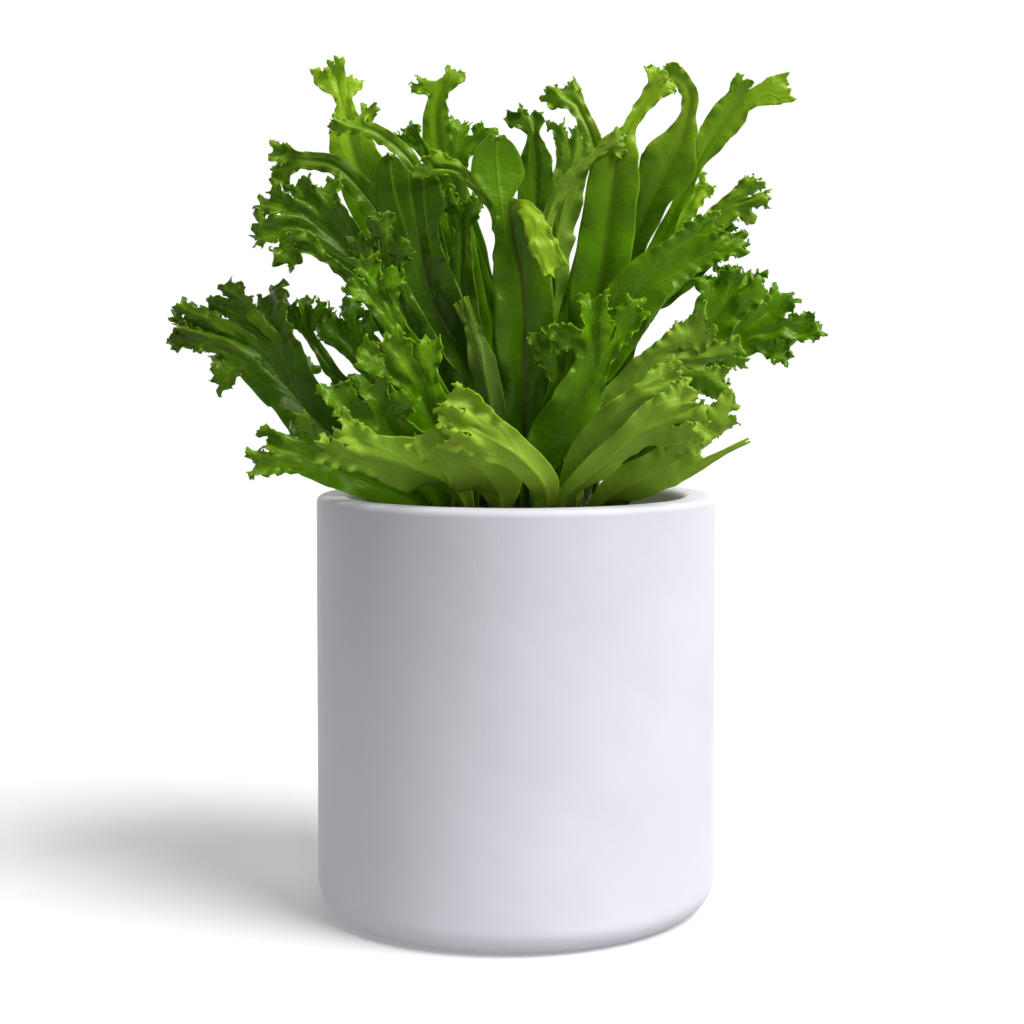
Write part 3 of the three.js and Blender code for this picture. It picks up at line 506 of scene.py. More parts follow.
def on_strip(strip, share, across):
    """Points of the strip, a row of them for each share."""
    share = np.atleast_1d(np.asarray(share, float))
    across = np.atleast_1d(np.asarray(across, float))
    _, side, up = frame_at(strip, share)
    aside, lift = strip.section(share[:, None], across[None, :])
    place = strip.at(share)[:, None] + aside[..., None] * side[:, None]
    return place + lift[..., None] * up[:, None]


class Strap:
    """The long plain blade of a frond, from the crown to where its crest begins."""

    end = 1.0

    def __init__(self, frond):
        root, out = root_place(*frond["root"])
        points = np.array([root] + [seen(place) for place in frond["line"]])
        self.path = smooth_path(points, PATH_SAMPLES)
        self.reach, self.length = lengths_along(self.path)
        self.marks = lengths_along(points)[0]
        self.scales = np.array([1] + [place[3] if len(place) > 3 else 1 for place in frond["line"]])
        inward = out * -FACE_INWARD + np.array([0, 0, FACE_INWARD])
        self.last = np.array(frond["face"]) if frond["face"] else inward
        self.first = self.last if self.last @ inward < FACE_AWAY else inward
        self.half = frond["width"] / 2
        self.neck = frond["neck"]
        self.seed = frond["seed"]
        self.end_half = float(self.half_at(np.array([1.0]))[0])

    def at(self, share):
        return np.stack([np.interp(share, self.reach, self.path[:, k]) for k in range(3)], -1)

    def face(self, share):
        return mix(self.first, self.last, smooth(share, 0, FACE_TURNED)[:, None])

    def half_at(self, share):
        i = np.clip(np.searchsorted(self.marks, share) - 1, 0, len(self.marks) - 2)
        step = smooth(share, self.marks[i], self.marks[i + 1])
        neck = mix(1, self.neck, smooth(share, NECK_FROM, 1))
        scale = mix(self.scales[i], self.scales[i + 1], step) * neck
        return mix(ROOT_HALF, self.half, smooth(share, *GROWN)) * scale

    def section(self, share, across):
        wide = self.half_at(share)
        turn = share * WAVE_TURNS + self.seed + np.where(across > 0, 2, 0)
        ripple = WAVE * np.sin(turn) * smooth(share, *WAVED) * across**2
        fold = FOLD * mix(1, FOLD_LEFT, share)
        crease = np.sqrt(across**2 + SOFT_FOLD[0]) - SOFT_FOLD[1]
        return across * wide * np.cos(fold), wide * (crease * np.sin(fold) + ripple)


class Lobe:
    """A lobe or frill. It leaves its parent's end between two places across it and runs to a tip.

    It grows no wider than to the middle between itself and the ones beside it."""

    def __init__(self, parent, start, stop, tip, half, seed, belly=0, glow=0, calm=0):
        along, side, up = (axis[0] for axis in frame_at(parent, parent.end))
        self.middle = (start + stop) / 2
        self.spread = (stop - start) / 2
        self.parent = parent
        self.root = on_strip(parent, parent.end, self.middle)[0, 0]
        reach = np.linalg.norm(tip - self.root)
        aim = unit(tip - self.root)
        out = unit(mix(along, aim, 0.5))
        curl = unit(aim + CURL * draw(seed, 1) * up + TWIST * draw(seed, 2) * side)
        self.knots = [self.root, self.root + out * reach * HANDLE, tip - curl * reach * HANDLE, tip]
        self.length = reach * LOBE_BEND
        self.side, self.up = side, up
        self.tip_face = up + TWIST * draw(seed, 3) * side + TWIST * draw(seed, 4) * along
        edge = on_strip(parent, parent.end, stop)[0, 0]
        self.begin = max(np.linalg.norm(edge - self.root), 0.5)
        self.tip_half, self.belly, self.seed = SPOON_TIP if belly else half, belly, seed
        self.glow, self.calm = glow, calm
        self.end = SPOON_SHARE if belly else LOBE_SHARE
        self.beside = {}

    def at(self, share):
        s = np.asarray(share, float)[..., None]
        a, b, c, d = self.knots
        return a * (1 - s) ** 3 + 3 * b * s * (1 - s) ** 2 + 3 * c * s**2 * (1 - s) + d * s**3

    def face(self, share):
        return mix(self.up, self.tip_face, share[:, None])

    def half_at(self, share, hand):
        far = np.clip((share - SPOON_MIDDLE) / (1 - SPOON_MIDDLE), 0, 1)
        rise = np.sin(np.pi * np.minimum(share, SPOON_MIDDLE) / (2 * SPOON_MIDDLE)) ** 2
        bulge = self.belly * SPOON_WIDEN * rise * np.sqrt(1 - far**2)
        wide = mix(self.begin, self.tip_half, smooth(share, 0, 0.8)) + bulge
        if hand in self.beside:
            apart = np.linalg.norm(self.beside[hand].at(share) - self.at(share), axis=-1)
            wide = np.minimum(wide, WEB * apart)
        return wide

    def section(self, share, across):
        start = self.middle + across[0] * self.spread
        place = on_strip(self.parent, self.parent.end, start)[0] - self.root
        flat = share[:, 0]
        left = self.half_at(flat, -1)[:, None]
        right = self.half_at(flat, 1)[:, None]
        wide = np.where(across < 0, left, right)
        grow = wide / self.begin
        warp = WARP * wide * share * draw(self.seed, 5) * across
        return (place @ self.side)[None, :] * grow, (place @ self.up)[None, :] * grow + warp


def beside_each_other(lobes):
    for left, right in zip(lobes, lobes[1:]):
        left.beside[1] = right
        right.beside[-1] = left
    return lobes


def frills_of(lobe):
    """The two frills that a lobe ends in, one each side of its tip."""
    along, side, up = (axis[0] for axis in frame_at(lobe, 1))
    frills = []
    for hand in (-1, 1):
        seed = lobe.seed * 3 + hand
        half = float(lobe.half_at(np.array([1.0]), hand)[0])
        tip = lobe.at(1.0) + side * hand * half * vary(seed, 6, FRILL_SPREAD, 0.1)
        tip = tip + up * half * vary(seed, 7, 0.2 * hand, 0.25)
        tip = tip + along * half * vary(seed, 8, 0.25, 0.25)
        place = (min(hand, 0), max(hand, 0))
        looks = {"glow": lobe.glow, "calm": lobe.calm}
        frills.append(Lobe(lobe, *place, tip, half * FRILL_HALF, seed, **looks))
    return beside_each_other(frills)


class Sheet:
    """The middle surface of a frond: its points, quads, and what each point knows of its place."""

    marks = (
        "fan", "arc", "depth", "ruffle", "thick", "rim", "tip", "aside", "calm", "half", "glow",
        "level", "vein",
    )

    def __init__(self):
        self.points = []
        self.quads = []
        self.values = {name: [] for name in self.marks}
        self.count = 0

    def add(self, grid, **values):
        """Adds a grid of points and returns their numbers."""
        rows, columns = grid.shape[:2]
        ids = self.count + np.arange(rows * columns).reshape(rows, columns)
        self.count += rows * columns
        self.points.append(grid.reshape(-1, 3))
        for name in self.marks:
            value = np.broadcast_to(values.get(name, 0.0), (rows, columns))
            self.values[name].append(value.reshape(-1))
        return ids

    def fill(self, levels):
        quads = np.stack([levels[:-1, :-1], levels[:-1, 1:], levels[1:, 1:], levels[1:, :-1]], -1)
        self.quads.append(quads.reshape(-1, 4))

    def close(self):
        """Puts the lists together and drops the points that no quad uses."""
        points = np.vstack(self.points)
        quads = np.vstack(self.quads)
        used, quads = np.unique(quads, return_inverse=True)
        self.quads = quads.reshape(-1, 4)
        self.points = points[used]
        self.values = {name: np.concatenate(value)[used] for name, value in self.values.items()}
        self.count = len(used)


def strap_rows(strap):
    plain = np.arange(0, PLAIN_PART, STRAP_ROW / strap.length)
    near = np.linspace(PLAIN_PART, 1, max(4, round(NECK_PART * strap.length / NECK_ROW)))
    return np.concatenate([plain, near])


def fan_grids(lobes, columns, frilled):
    """The points of lobes side by side, all with the same number of rows, and their shares."""
    stops = [lobe.end if frilled else 1.0 for lobe in lobes]
    rows = max(4, *(round(stop * lobe.length / CREST_ROW) for stop, lobe in zip(stops, lobes)))
    across = np.linspace(-1, 1, columns + 1)
    shares = [np.linspace(0, stop, rows + 1)[1:] for stop in stops]
    grids = [on_strip(lobe, share, across) for lobe, share in zip(lobes, shares)]
    if not frilled:
        for k, lobe in enumerate(lobes):
            along = frame_at(lobe, 1)[0][0]
            ends = np.array([draw(lobe.seed, 9), 0, draw(lobe.seed, 11)]) * 0.7 * NOTCH
            ends[1] = -NOTCH
            tooth = np.interp(across, [-1, 0, 1], ends) * lobe.tip_half
            push = smooth(shares[k], 0.3, 1)[:, None] * tooth[None, :]
            grids[k] = grids[k] + push[..., None] * along
    return across, shares, grids


def join_webs(lobes, grids, reach):
    """Draws neighbours' edges together as far as their web goes, and returns the rows joined."""
    joined = []
    for left, right, lobe in zip(grids, grids[1:], lobes):
        gap = np.linalg.norm(left[:, -1] - right[:, 0], axis=1)
        most = round(len(gap) * pick(lobe.seed, 15, reach))
        wide = np.nonzero(gap > pick(lobe.seed, 16, WEB_GAP))[0]
        stop = min(most, wide[0] if len(wide) else most)
        middle = (left[:stop, -1] + right[:stop, 0]) / 2
        left[:stop, -1] = middle
        right[:stop, 0] = middle
        joined.append(int(stop))
    return joined


def grow_fan(sheet, lobes, lower, spans, strap, reached, edges, frilled):
    """Adds lobes or frills side by side on the row below them, and the frills they end in.

    edges are how much the fan's two outer edges ruffle, from 0 to 1."""
    columns = (len(lower) - 1) // len(lobes)
    across, shares, grids = fan_grids(lobes, columns, frilled)
    joined = join_webs(lobes, grids, LOBE_WEB if frilled else FRILL_WEB)
    rows = len(shares[0])
    level = np.arange(rows) / rows
    rise = [mix(edges[0], 1, smooth(level, 0, 0.5))]
    rise += [smooth(level - stop / rows, 0, 0.35) for stop in joined]
    rise += [mix(edges[1], 1, smooth(level, 0, 0.5))]
    before = None
    for k, lobe in enumerate(lobes):
        arc = reached[k] + shares[k][:, None] * lobe.length
        weight = np.where(across < 0, -rise[k][:, None], rise[k + 1][:, None]) * np.abs(across) ** 3
        middle, half = (spans[k][0] + spans[k][1]) / 2, (spans[k][1] - spans[k][0]) / 2
        calm = max(lobe.calm, 0.9) if lobe.belly else lobe.calm
        wide = lobe.half_at(shares[k], 1)[:, None]
        fork = 0.5 * smooth(level, FORK_FROM, 1)[:, None] if frilled and not lobe.belly else 0
        vein = np.minimum(np.abs(across - fork), np.abs(across + fork)) * wide
        fan = (middle + across * half)[None, :]
        ids = sheet.add(
            grids[k], fan=fan, arc=arc, depth=arc - strap.length, ruffle=weight, thick=CREST_THICK,
            rim=np.abs(across)[None, :], aside=fan * strap.end_half, calm=calm, glow=lobe.glow,
            level=level[:, None] if frilled else 1.0, vein=vein,
        )
        if before is not None:
            ids[: joined[k - 1], 0] = before[: joined[k - 1], -1]
        sheet.fill(np.vstack([lower[None, k * columns : (k + 1) * columns + 1], ids]))
        before = ids
        if frilled:
            on = reached[k] + lobe.end * lobe.length
            parts = [(spans[k][0], middle), (middle, spans[k][1])]
            outer = (float(rise[k][-1]), float(rise[k + 1][-1]))
            grow_fan(sheet, frills_of(lobe), ids[-1], parts, strap, [on, on], outer, False)


def frond_sheet(frond):
    """The middle surface of a whole frond: strap, lobes and frills in one sheet."""
    sheet = Sheet()
    strap = Strap(frond)
    count = len(frond["lobes"])
    across = np.linspace(-1, 1, count * COLUMNS[count] + 1)
    shares = strap_rows(strap)
    wide = strap.half_at(shares)[:, None]
    fork = smooth(shares, FORK_FROM, 1)[:, None]
    middles = (2 * np.arange(count) + 1) / count - 1
    vein = np.min([np.abs(across[None, :] - middle * fork) for middle in middles], axis=0) * wide
    rib = np.exp(-((across[None, :] * wide / RIB_HALF) ** 2)) * (1 - shares[:, None] ** 0.6)
    stalk = 1 - smooth(shares, 0, 0.12)[:, None]
    arc = shares[:, None] * strap.length
    ruffle = smooth(shares, 0.8, 1)[:, None] * np.sign(across) * np.abs(across) ** 3
    ids = sheet.add(
        on_strip(strap, shares, across), fan=across[None, :], arc=arc, depth=arc - strap.length,
        ruffle=ruffle, thick=STRAP_THICK + (RIB - STRAP_THICK) * np.maximum(rib, 0.6 * stalk),
        rim=np.abs(across)[None, :], aside=across[None, :] * wide, half=wide, vein=vein,
    )
    sheet.fill(ids)
    lobes, spans = [], []
    for index, place in enumerate(frond["lobes"]):
        span = (2 * index / count - 1, 2 * (index + 1) / count - 1)
        belly = place[4] if len(place) > 4 else 0
        seed = frond["seed"] * 7 + index
        glow = GLOW.get((frond["seed"], index), 0)
        calm = CALM.get((frond["seed"], index), 0)
        half = place[3] * LOBE_WIDEN
        lobes.append(Lobe(strap, *span, seen(place), half, seed, belly, glow, calm))
        spans.append(span)
    beside_each_other(lobes)
    grow_fan(sheet, lobes, ids[-1], spans, strap, [strap.length] * count, (1.0, 1.0), True)
    sheet.close()
    return sheet


def sheet_normals(points, quads):
    a, b, c, d = (points[quads[:, k]] for k in range(4))
    face = np.cross(c - a, d - b)
    normals = np.zeros_like(points)
    for k in range(4):
        np.add.at(normals, quads[:, k], face)
    return unit(normals)


def clouds_at(points, step, drift):
    return np.array([noise.noise(Vector(p) / step + drift) for p in points])


def add_relief(sheet, count, seed):
    """Pleats that fan out over the crest, ruffled edges, and a slow wave along the strap."""
    v = sheet.values
    normals = sheet_normals(sheet.points, sheet.quads)
    loose = 1 - v["calm"]
    drift = Vector((seed * 1.7, 0, 0))
    rough = clouds_at(sheet.points, CRUMPLE_STEP, drift)
    turn = math.pi * count * PLEATS * v["fan"] + 3 * draw(seed, 20) + 2.2 * rough
    crease = np.arcsin(PLEAT_SHARP * np.sin(turn)) * 2 / math.pi
    pleat = PLEAT * smooth(v["depth"], *PLEAT_SPAN) * crease
    hand = np.where(v["ruffle"] < 0, 1.7, 0)
    step = 2 * math.pi / (RUFFLE_STEP * vary(seed, 21, 1, 0.25))
    frill = RUFFLE * np.abs(v["ruffle"]) * np.sin(step * v["arc"] + hand + seed + 2 * rough)
    wave = 2 * math.pi / SWAY_STEP * v["arc"] * vary(seed, 22, 1, 0.2) + 2 * seed + 1.3 * hand
    plain = smooth(v["arc"], *STRAP_SPAN) * (1 - smooth(v["depth"], *STRAP_END))
    sway = SWAY * vary(seed, 24, 1, 0.5) * v["rim"] ** 2.2 * plain * np.sin(wave)
    pillow = PILLOW * np.sin(math.pi * v["rim"]) * plain * np.minimum(1, v["half"] / PILLOW_HALF)
    slow = clouds_at(sheet.points, DRIFT_STEP, drift)
    bend = DRIFT * slow * smooth(v["arc"], *DRIFT_SPAN)
    crumple = CRUMPLE * smooth(v["depth"], *CRUMPLE_SPAN) * rough
    lift = (pleat + frill + crumple) * loose + sway + pillow + bend
    sheet.points = sheet.points + normals * lift[:, None]


def stray(reached, far, step, seed):
    """A place along an edge, moved to and fro, so that steps along it come out uneven."""
    return reached + far * math.sin(reached / step + seed)


def add_teeth(sheet, seed):
    """Draws the crest's edge out into uneven lobules and teeth, and the blade beside it too."""
    normals = sheet_normals(sheet.points, sheet.quads)
    v = sheet.values
    push = np.zeros_like(sheet.points)
    fixed = np.zeros(len(push), bool)
    for number, loop in enumerate(edge_loops(sheet.quads)):
        reached = draw(seed, number)
        for before, here, after in zip(loop, loop[1:], loop[2:]):
            fixed[here] = True
            edge = sheet.points[after] - sheet.points[before]
            reached += float(np.linalg.norm(edge)) / 2
            growth = float(smooth(v["depth"][here], *TOOTHED_SPAN)) * (1 - v["calm"][here])
            growth *= mix(0.25, 1, float(smooth(v["level"][here], *TOOTHED_LEVEL)))
            if growth <= 0:
                continue
            turn = stray(reached, *TOOTH_STRAY, seed) / TOOTH_STEP
            size = vary(seed + 3 * number, math.floor(turn), *TOOTH_SIZE)
            place = turn % 1
            tooth = size * min(place / TOOTH_LEAN, (1 - place) / (1 - TOOTH_LEAN)) - TOOTH_LOW
            turn = stray(reached, *LOBULE_STRAY, 2 * seed) / LOBULE_STEP
            size = vary(seed + 5 * number, math.floor(turn) + 50, *LOBULE_SIZE)
            lobule = size * math.sin(math.pi * (turn % 1)) ** 0.7 - LOBULE_LOW
            out = unit(np.cross(edge, normals[here]))
            push[here] = out * growth * (TOOTH * tooth + LOBULE * lobule)
    ends = np.concatenate([sheet.quads, np.roll(sheet.quads, -1, axis=1)]).reshape(2, -1)
    ties = np.maximum(np.bincount(ends.ravel(), minlength=len(push)), 1)[:, None]
    for _ in range(SPREAD):
        around = np.zeros_like(push)
        np.add.at(around, ends[0], push[ends[1]])
        np.add.at(around, ends[1], push[ends[0]])
        push = np.where(fixed[:, None], push, around / ties)
    sheet.points = sheet.points + push


def edge_loops(quads):
    """The open edges of a sheet, as lists of points in order."""
    directed = {}
    pairs = {(int(q[k]), int(q[(k + 1) % 4])) for q in quads for k in range(4)}
    for a, b in pairs:
        if (b, a) not in pairs:
            directed[a] = b
    loops = []
    left = dict(directed)
    for start in sorted(directed):
        if start not in left:
            continue
        loop = [start]
        while loop[-1] in left:
            loop.append(left.pop(loop[-1]))
        loops.append(loop)
    return loops


def add_fingers(sheet, seed, curly):
    """Small tapering fingers that curl out of the crest's edge."""
    normals = sheet_normals(sheet.points, sheet.quads)
    points, v = sheet.points, sheet.values
    new_points, new_quads = [], []
    new_values = {name: [] for name in sheet.marks}
    number = 0
    for loop in edge_loops(sheet.quads):
        since, gap = 0.0, 1.0
        for a, b in zip(loop, loop[1:]):
            base = points[b] - points[a]
            size = float(np.linalg.norm(base))
            since += size
            bare = min(v["depth"][a], v["depth"][b]) < FINGER_FROM or v["calm"][a] > FINGER_CALM
            bare = bare or v["level"][a] < FINGER_LEVEL
            if bare or since < gap or size > LONGEST_EDGE:
                continue
            number += 1
            key = seed * 31 + number
            gap = pick(key, 1, FINGER_GAP) / curly + size
            since = 0.0
            growth = float(smooth(v["depth"][a], FINGER_FROM, FINGER_FULL))
            long = pick(key, 2, (0, 1)) < LONG_SHARE * curly
            length = pick(key, 3, LONG_FINGER if long else FINGER_LENGTH) * mix(0.5, 1, growth)
            along = base / (size + 1e-9)
            out = unit(np.cross(along, normals[a]))
            lean = along * 0.5 * draw(key, 4)
            hand = 1 if draw(key, 6) > -0.2 else -1
            turn = math.radians(pick(key, 5, FINGER_TURN)) * hand
            steps = 4 if long else 3
            middle = (points[a] + points[b]) / 2
            row = (a, b)
            for step in range(1, steps + 1):
                angle = turn * step * FINGER_CURL
                way = unit(out * math.cos(angle) + normals[a] * math.sin(angle) + lean)
                middle = middle + way * length / steps
                half = min(size, WIDEST_FINGER) * FINGER_TAPER[step - 1]
                first = sheet.count + len(new_points)
                new_points += [middle - along * half, middle + along * half]
                for name in sheet.marks:
                    new_values[name] += [v[name][a], v[name][b]]
                new_values["tip"][-2:] = [step / steps] * 2
                new_values["thick"][-2:] = [CREST_THICK] * 2
                new_quads.append((row[1], row[0], first, first + 1))
                row = (first, first + 1)
    if new_points:
        sheet.points = np.vstack([points, np.array(new_points)])
        sheet.quads = np.vstack([sheet.quads, np.array(new_quads)])
        sheet.values = {name: np.concatenate([v[name], new_values[name]]) for name in sheet.marks}
        sheet.count = len(sheet.points)


def placed(name, data):
    """A new object in the scene."""
    made = bpy.data.objects.new(name, data)
    bpy.context.scene.collection.objects.link(made)
    return made


def leaf_object(name, sheet, traits, pale, thickness):
    """A mesh of the sheet in metres, with its marks as attributes, and thickened by a modifier."""
    mesh = bpy.data.meshes.new(name)
    mesh.from_pydata((sheet.points * MM).tolist(), [], sheet.quads.tolist())
    v = sheet.values
    count = len(sheet.points)
    attributes = {
        **{mark: v[mark] for mark in ("aside", "fan", "tip", "rim", "calm", "vein")},
        "along": v["arc"],
        "crest": smooth(v["depth"], *CREST_SPAN),
        # painted sheen on the strap's upper end, kept in one attribute with the lobes that are
        # brighter than their frond
        "glow": np.maximum(v["glow"], pale * smooth(v["depth"], *PAINTED_SHEEN_SPAN)),
        **{trait: np.full(count, value) for trait, value in traits.items()},
    }
    for key, value in attributes.items():
        layer = mesh.attributes.new(key, "FLOAT", "POINT")
        layer.data.foreach_set("value", value.astype(np.float32))
    corners = np.zeros(len(mesh.loops), np.int32)
    mesh.loops.foreach_get("vertex_index", corners)
    uv = np.stack([0.5 + v["aside"] / UV_SIZE[0], v["arc"] / UV_SIZE[1]], -1)[corners]
    mesh.uv_layers.new(name="blade").data.foreach_set("uv", uv.astype(np.float32).ravel())
    leaf = placed(name, mesh)
    group = leaf.vertex_groups.new(name="thickness")
    shares = np.round(v["thick"] / RIB, 2)
    for share in np.unique(shares):
        group.add(np.nonzero(shares == share)[0].tolist(), float(share), "REPLACE")
    only_active(leaf)
    solid = leaf.modifiers.new("thickness", "SOLIDIFY")
    solid.thickness = RIB * MM * thickness
    solid.offset = 0
    solid.vertex_group = group.name
    solid.material_offset = 1
    solid.material_offset_rim = 2
    return leaf


def only_active(obj):
    bpy.ops.object.select_all(action="DESELECT")
    obj.select_set(True)
    bpy.context.view_layer.objects.active = obj


def finish_piece(obj, nodes, slot, *materials):
    """Dresses a piece, which rides on the part's one body and stands for its CAD nodes."""
    for material in materials:
        obj.data.materials.append(material)
    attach(obj, "root")
    if nodes:
        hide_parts(*nodes)


# Materials


def tinted(color, share):
    """The colour made lighter or darker."""
    return tuple(min(1, c * share) for c in color)


class Nodes:
    """Short words for the nodes of a material or of the room."""

    def __init__(self, owner):
        self.owner = owner
        owner.use_nodes = True
        self.tree = owner.node_tree
        self.tree.nodes.clear()

    def node(self, kind, inputs, **settings):
        """A node whose inputs are values or the outputs of other nodes."""
        made = self.tree.nodes.new(kind)
        for key, value in settings.items():
            setattr(made, key, value)
        for key, value in inputs.items():
            socket = made.inputs[key]
            if isinstance(value, bpy.types.NodeSocket):
                self.tree.links.new(value, socket)
            elif socket.type == "RGBA" and len(value) == 3:
                socket.default_value = (*value, 1)
            else:
                socket.default_value = value
        return made

    def math(self, operation, first, *others):
        """The operation on one value, or on the first and each other one in turn."""
        if not others:
            return self.node("ShaderNodeMath", {0: first}, operation=operation).outputs[0]
        for other in others:
            made = self.node("ShaderNodeMath", {0: first, 1: other}, operation=operation)
            first = made.outputs[0]
        return first

    def times(self, *values):
        return self.math("MULTIPLY", *values)

    def plus(self, *values):
        return self.math("ADD", *values)

    def most(self, *values):
        return self.math("MAXIMUM", *values)

    def rest(self, share):
        return self.math("SUBTRACT", 1.0, share)

    def ramp(self, value, low, high, *ends):
        """A smooth rise from 0 to 1 between two values, or from one end to the other."""
        inputs = dict(enumerate((value, low, high, *ends)))
        made = self.node("ShaderNodeMapRange", inputs, interpolation_type="SMOOTHSTEP")
        return made.outputs[0]

    def layers(self, color, *layers):
        """The colour with others laid over it, each with its share."""
        for share, over in layers:
            inputs = {0: share, 6: color, 7: over}
            color = self.node("ShaderNodeMix", inputs, data_type="RGBA").outputs[2]
        return color

    def trait(self, name):
        return self.node("ShaderNodeAttribute", {}, attribute_name=name).outputs["Fac"]

    def clouds(self, place, scale, detail, rough=0.5):
        inputs = {"Vector": place, "Scale": scale, "Detail": detail, "Roughness": rough}
        return self.node("ShaderNodeTexNoise", inputs).outputs["Fac"]

    def noise(self, scale, detail=2.0, rough=0.5):
        place = self.node("ShaderNodeTexCoord", {}).outputs["Object"]
        return self.clouds(place, scale, detail, rough)

    def streaks(self, across, along):
        """Uneven streaks: long across and narrow along."""
        stretched = {0: self.times(across, 0.05), 1: self.times(along, 0.2), 2: self.trait("fresh")}
        place = self.node("ShaderNodeCombineXYZ", stretched).outputs[0]
        return self.clouds(place, 2.0, 4.0)

    def ridges(self, value, step, sharp):
        """Narrow raised lines, one each step of the value."""
        turn = self.times(value, math.pi / step)
        wave = self.math("ABSOLUTE", self.math("COSINE", turn))
        return self.math("POWER", wave, sharp)

    def relief(self, *layers):
        """Bumps laid over each other, each with its height and its distance in metres."""
        below = {}
        for height, distance in layers:
            inputs = {"Strength": 1.0, "Distance": distance, "Height": height, **below}
            below = {"Normal": self.node("ShaderNodeBump", inputs).outputs[0]}
        return below["Normal"]

    def dull(self, least, more, scale):
        """An uneven roughness."""
        return self.plus(least, self.times(self.noise(scale, 3.0), more))

    def close(self, kind, shader, inputs):
        made = self.node(shader, inputs)
        self.node(kind, {0: made.outputs[0]})
        return self.owner

    def finish(self, color, dull, relief, **fixed):
        inputs = {"Base Color": color, "Roughness": dull, "Normal": relief}
        inputs.update({key.replace("_", " "): value for key, value in fixed.items()})
        return self.close("ShaderNodeOutputMaterial", "ShaderNodeBsdfPrincipled", inputs)


def new_material(name):
    return Nodes(bpy.data.materials.new(name))


def leaf_material(settings, side):
    """The green of a blade: its veins, midrib, pleats, spots and a painted sheen on the strap's
    upper end. side is upper, lower or edge.
    """
    n = new_material(f"leaf_{side}")
    fan_share, rib_share, fine_share, least_dull = SIDES[side]
    deep, mid, young = settings.deep_green[:], settings.fresh_green[:], settings.young_green[:]
    crest, aside, along = n.trait("crest"), n.trait("aside"), n.trait("along")
    vein, rim = n.trait("vein"), n.trait("rim")
    plain = n.rest(crest)
    # patches from deep to young green
    patches = n.noise(PATCHES, 4.0)
    share = n.plus(n.trait("fresh"), n.times(patches, 0.6), n.times(crest, 0.15), -0.19)
    young_share = n.times(n.ramp(share, 0.66, 1.42), 0.88)
    green = n.layers(deep, (n.ramp(share, 0.0, 0.8), mid), (young_share, young))
    # lighter lines: the crest's pleats, the midribs, streaks, the fine veins and the margin
    away = n.math("ABSOLUTE", aside)
    slope = n.math("SUBTRACT", along, n.times(away, VEIN_SLANT))
    veins = n.times(n.ridges(slope, VEIN_STEP, 2.0), plain)
    streaks = n.streaks(aside, slope)
    strong = n.ramp(n.noise(2 * PATCHES), 0.35, 0.7)
    ruffled = n.times(crest, n.rest(n.trait("calm")))
    fans = n.ridges(n.times(n.trait("fan"), n.trait("lobes")), FAN_STEP, 3.0)
    fans = n.times(fans, strong, ruffled)
    ribs = n.times(n.rest(n.ramp(vein, 0.1, 0.9)), n.plus(rib_share, n.times(crest, 0.1)))
    light = n.most(n.times(fans, fan_share), ribs)
    light = n.plus(light, n.times(n.ramp(streaks, 0.45, 0.75), 0.05))
    margin = n.times(n.ramp(rim, 0.9, 1.0), 0.12)
    light = n.most(light, n.times(veins, fine_share), margin)
    green = n.layers(green, (light, young))
    if side == "lower":
        spores = n.trait("spores")
        pale = n.math("SUBTRACT", 0.56, n.times(spores, 0.45))
        lines = n.times(n.ridges(slope, SPORE_STEP, 2.0), spores, plain, 0.25)
        green = n.layers(green, (pale, settings.underside[:]), (lines, SPORE_BROWN))
    if side == "edge":
        green = n.layers(green, (0.3, young))
    # dark midrib, bright lobes, painted sheen on the straps' upper ends, lighter tips, brown stalk,
    # dry edges and specks
    groove = n.times(n.rest(n.ramp(away, 0.5, 1.9)), plain, n.trait("dark_rib"), 0.75)
    stalk = n.times(n.rest(n.ramp(along, 5.0, 18.0)), 0.8)
    outer = n.plus(n.times(crest, rim), n.times(patches, 0.5))
    dry = n.times(n.trait("brown"), n.most(n.ramp(outer, 1.0, 1.4), n.times(crest, 0.2)))
    green = n.layers(
        green,
        (groove, RIB_BROWN),
        # painted sheen on the straps' upper ends, together with the lobes that are brighter than
        # their frond
        (n.times(n.trait("glow"), 0.75), young),
        (n.times(n.trait("tip"), 0.35), young),
        (stalk, STALK_BROWN),
        (dry, DRY_BROWN),
        (n.times(n.ramp(n.noise(SPECKS), 0.68, 0.8), 0.2), deep),
        (n.times(n.ramp(streaks, 0.5, 0.25), 0.1), deep),
    )
    relief = n.relief(
        (veins, 0.000012),
        (fans, 0.00005),
        (n.rest(n.ramp(vein, 0.0, 1.6)), 0.00018),
        (streaks, 0.00016),
        (n.noise(DIMPLES, 3.0), 0.0007),
    )
    return n.finish(green, n.dull(least_dull, 0.18, 90.0), relief, **LEAF_SHINE)


def pot_material(settings):
    """Matte glaze: a faint mottle, fine speckle and a slightly uneven skin."""
    n = new_material("pot_matte_glaze")
    white = settings.glaze[:]
    mottle = n.ramp(n.noise(9.0, 4.0), 0.35, 0.7)
    specks = n.times(n.ramp(n.noise(900.0), 0.72, 0.82), 0.12)
    color = n.layers(white, (mottle, tinted(white, 0.93)), (specks, SPECK_GREY))
    relief = n.relief((n.noise(24.0), 0.0009), (n.noise(1400.0), 0.00006))
    return n.finish(color, n.dull(0.48, 0.16, 60.0), relief, Specular_IOR_Level=0.35)


def earth_material(name, dark, light, scale):
    """Crumbly ground: dark and light grains, rough all over."""
    n = new_material(name)
    grains = n.ramp(n.noise(scale, 6.0, 0.7), 0.35, 0.68)
    pale = n.times(n.ramp(n.noise(scale * 5), 0.66, 0.74), 0.35)
    color = n.layers(dark, (grains, light), (pale, tinted(light, 3)))
    relief = n.relief((n.noise(scale * 3, 6.0, 0.7), 0.0012))
    return n.finish(color, n.dull(0.8, 0.18, scale), relief)


def floor_material(settings):
    n = new_material("studio_floor")
    white = settings.floor[:]
    color = n.layers(white, (n.noise(3.0), tinted(white, 0.985)))
    return n.finish(color, n.dull(0.75, 0.1, 8.0), n.relief((n.noise(400.0), 0.00005)))


# What a user may change


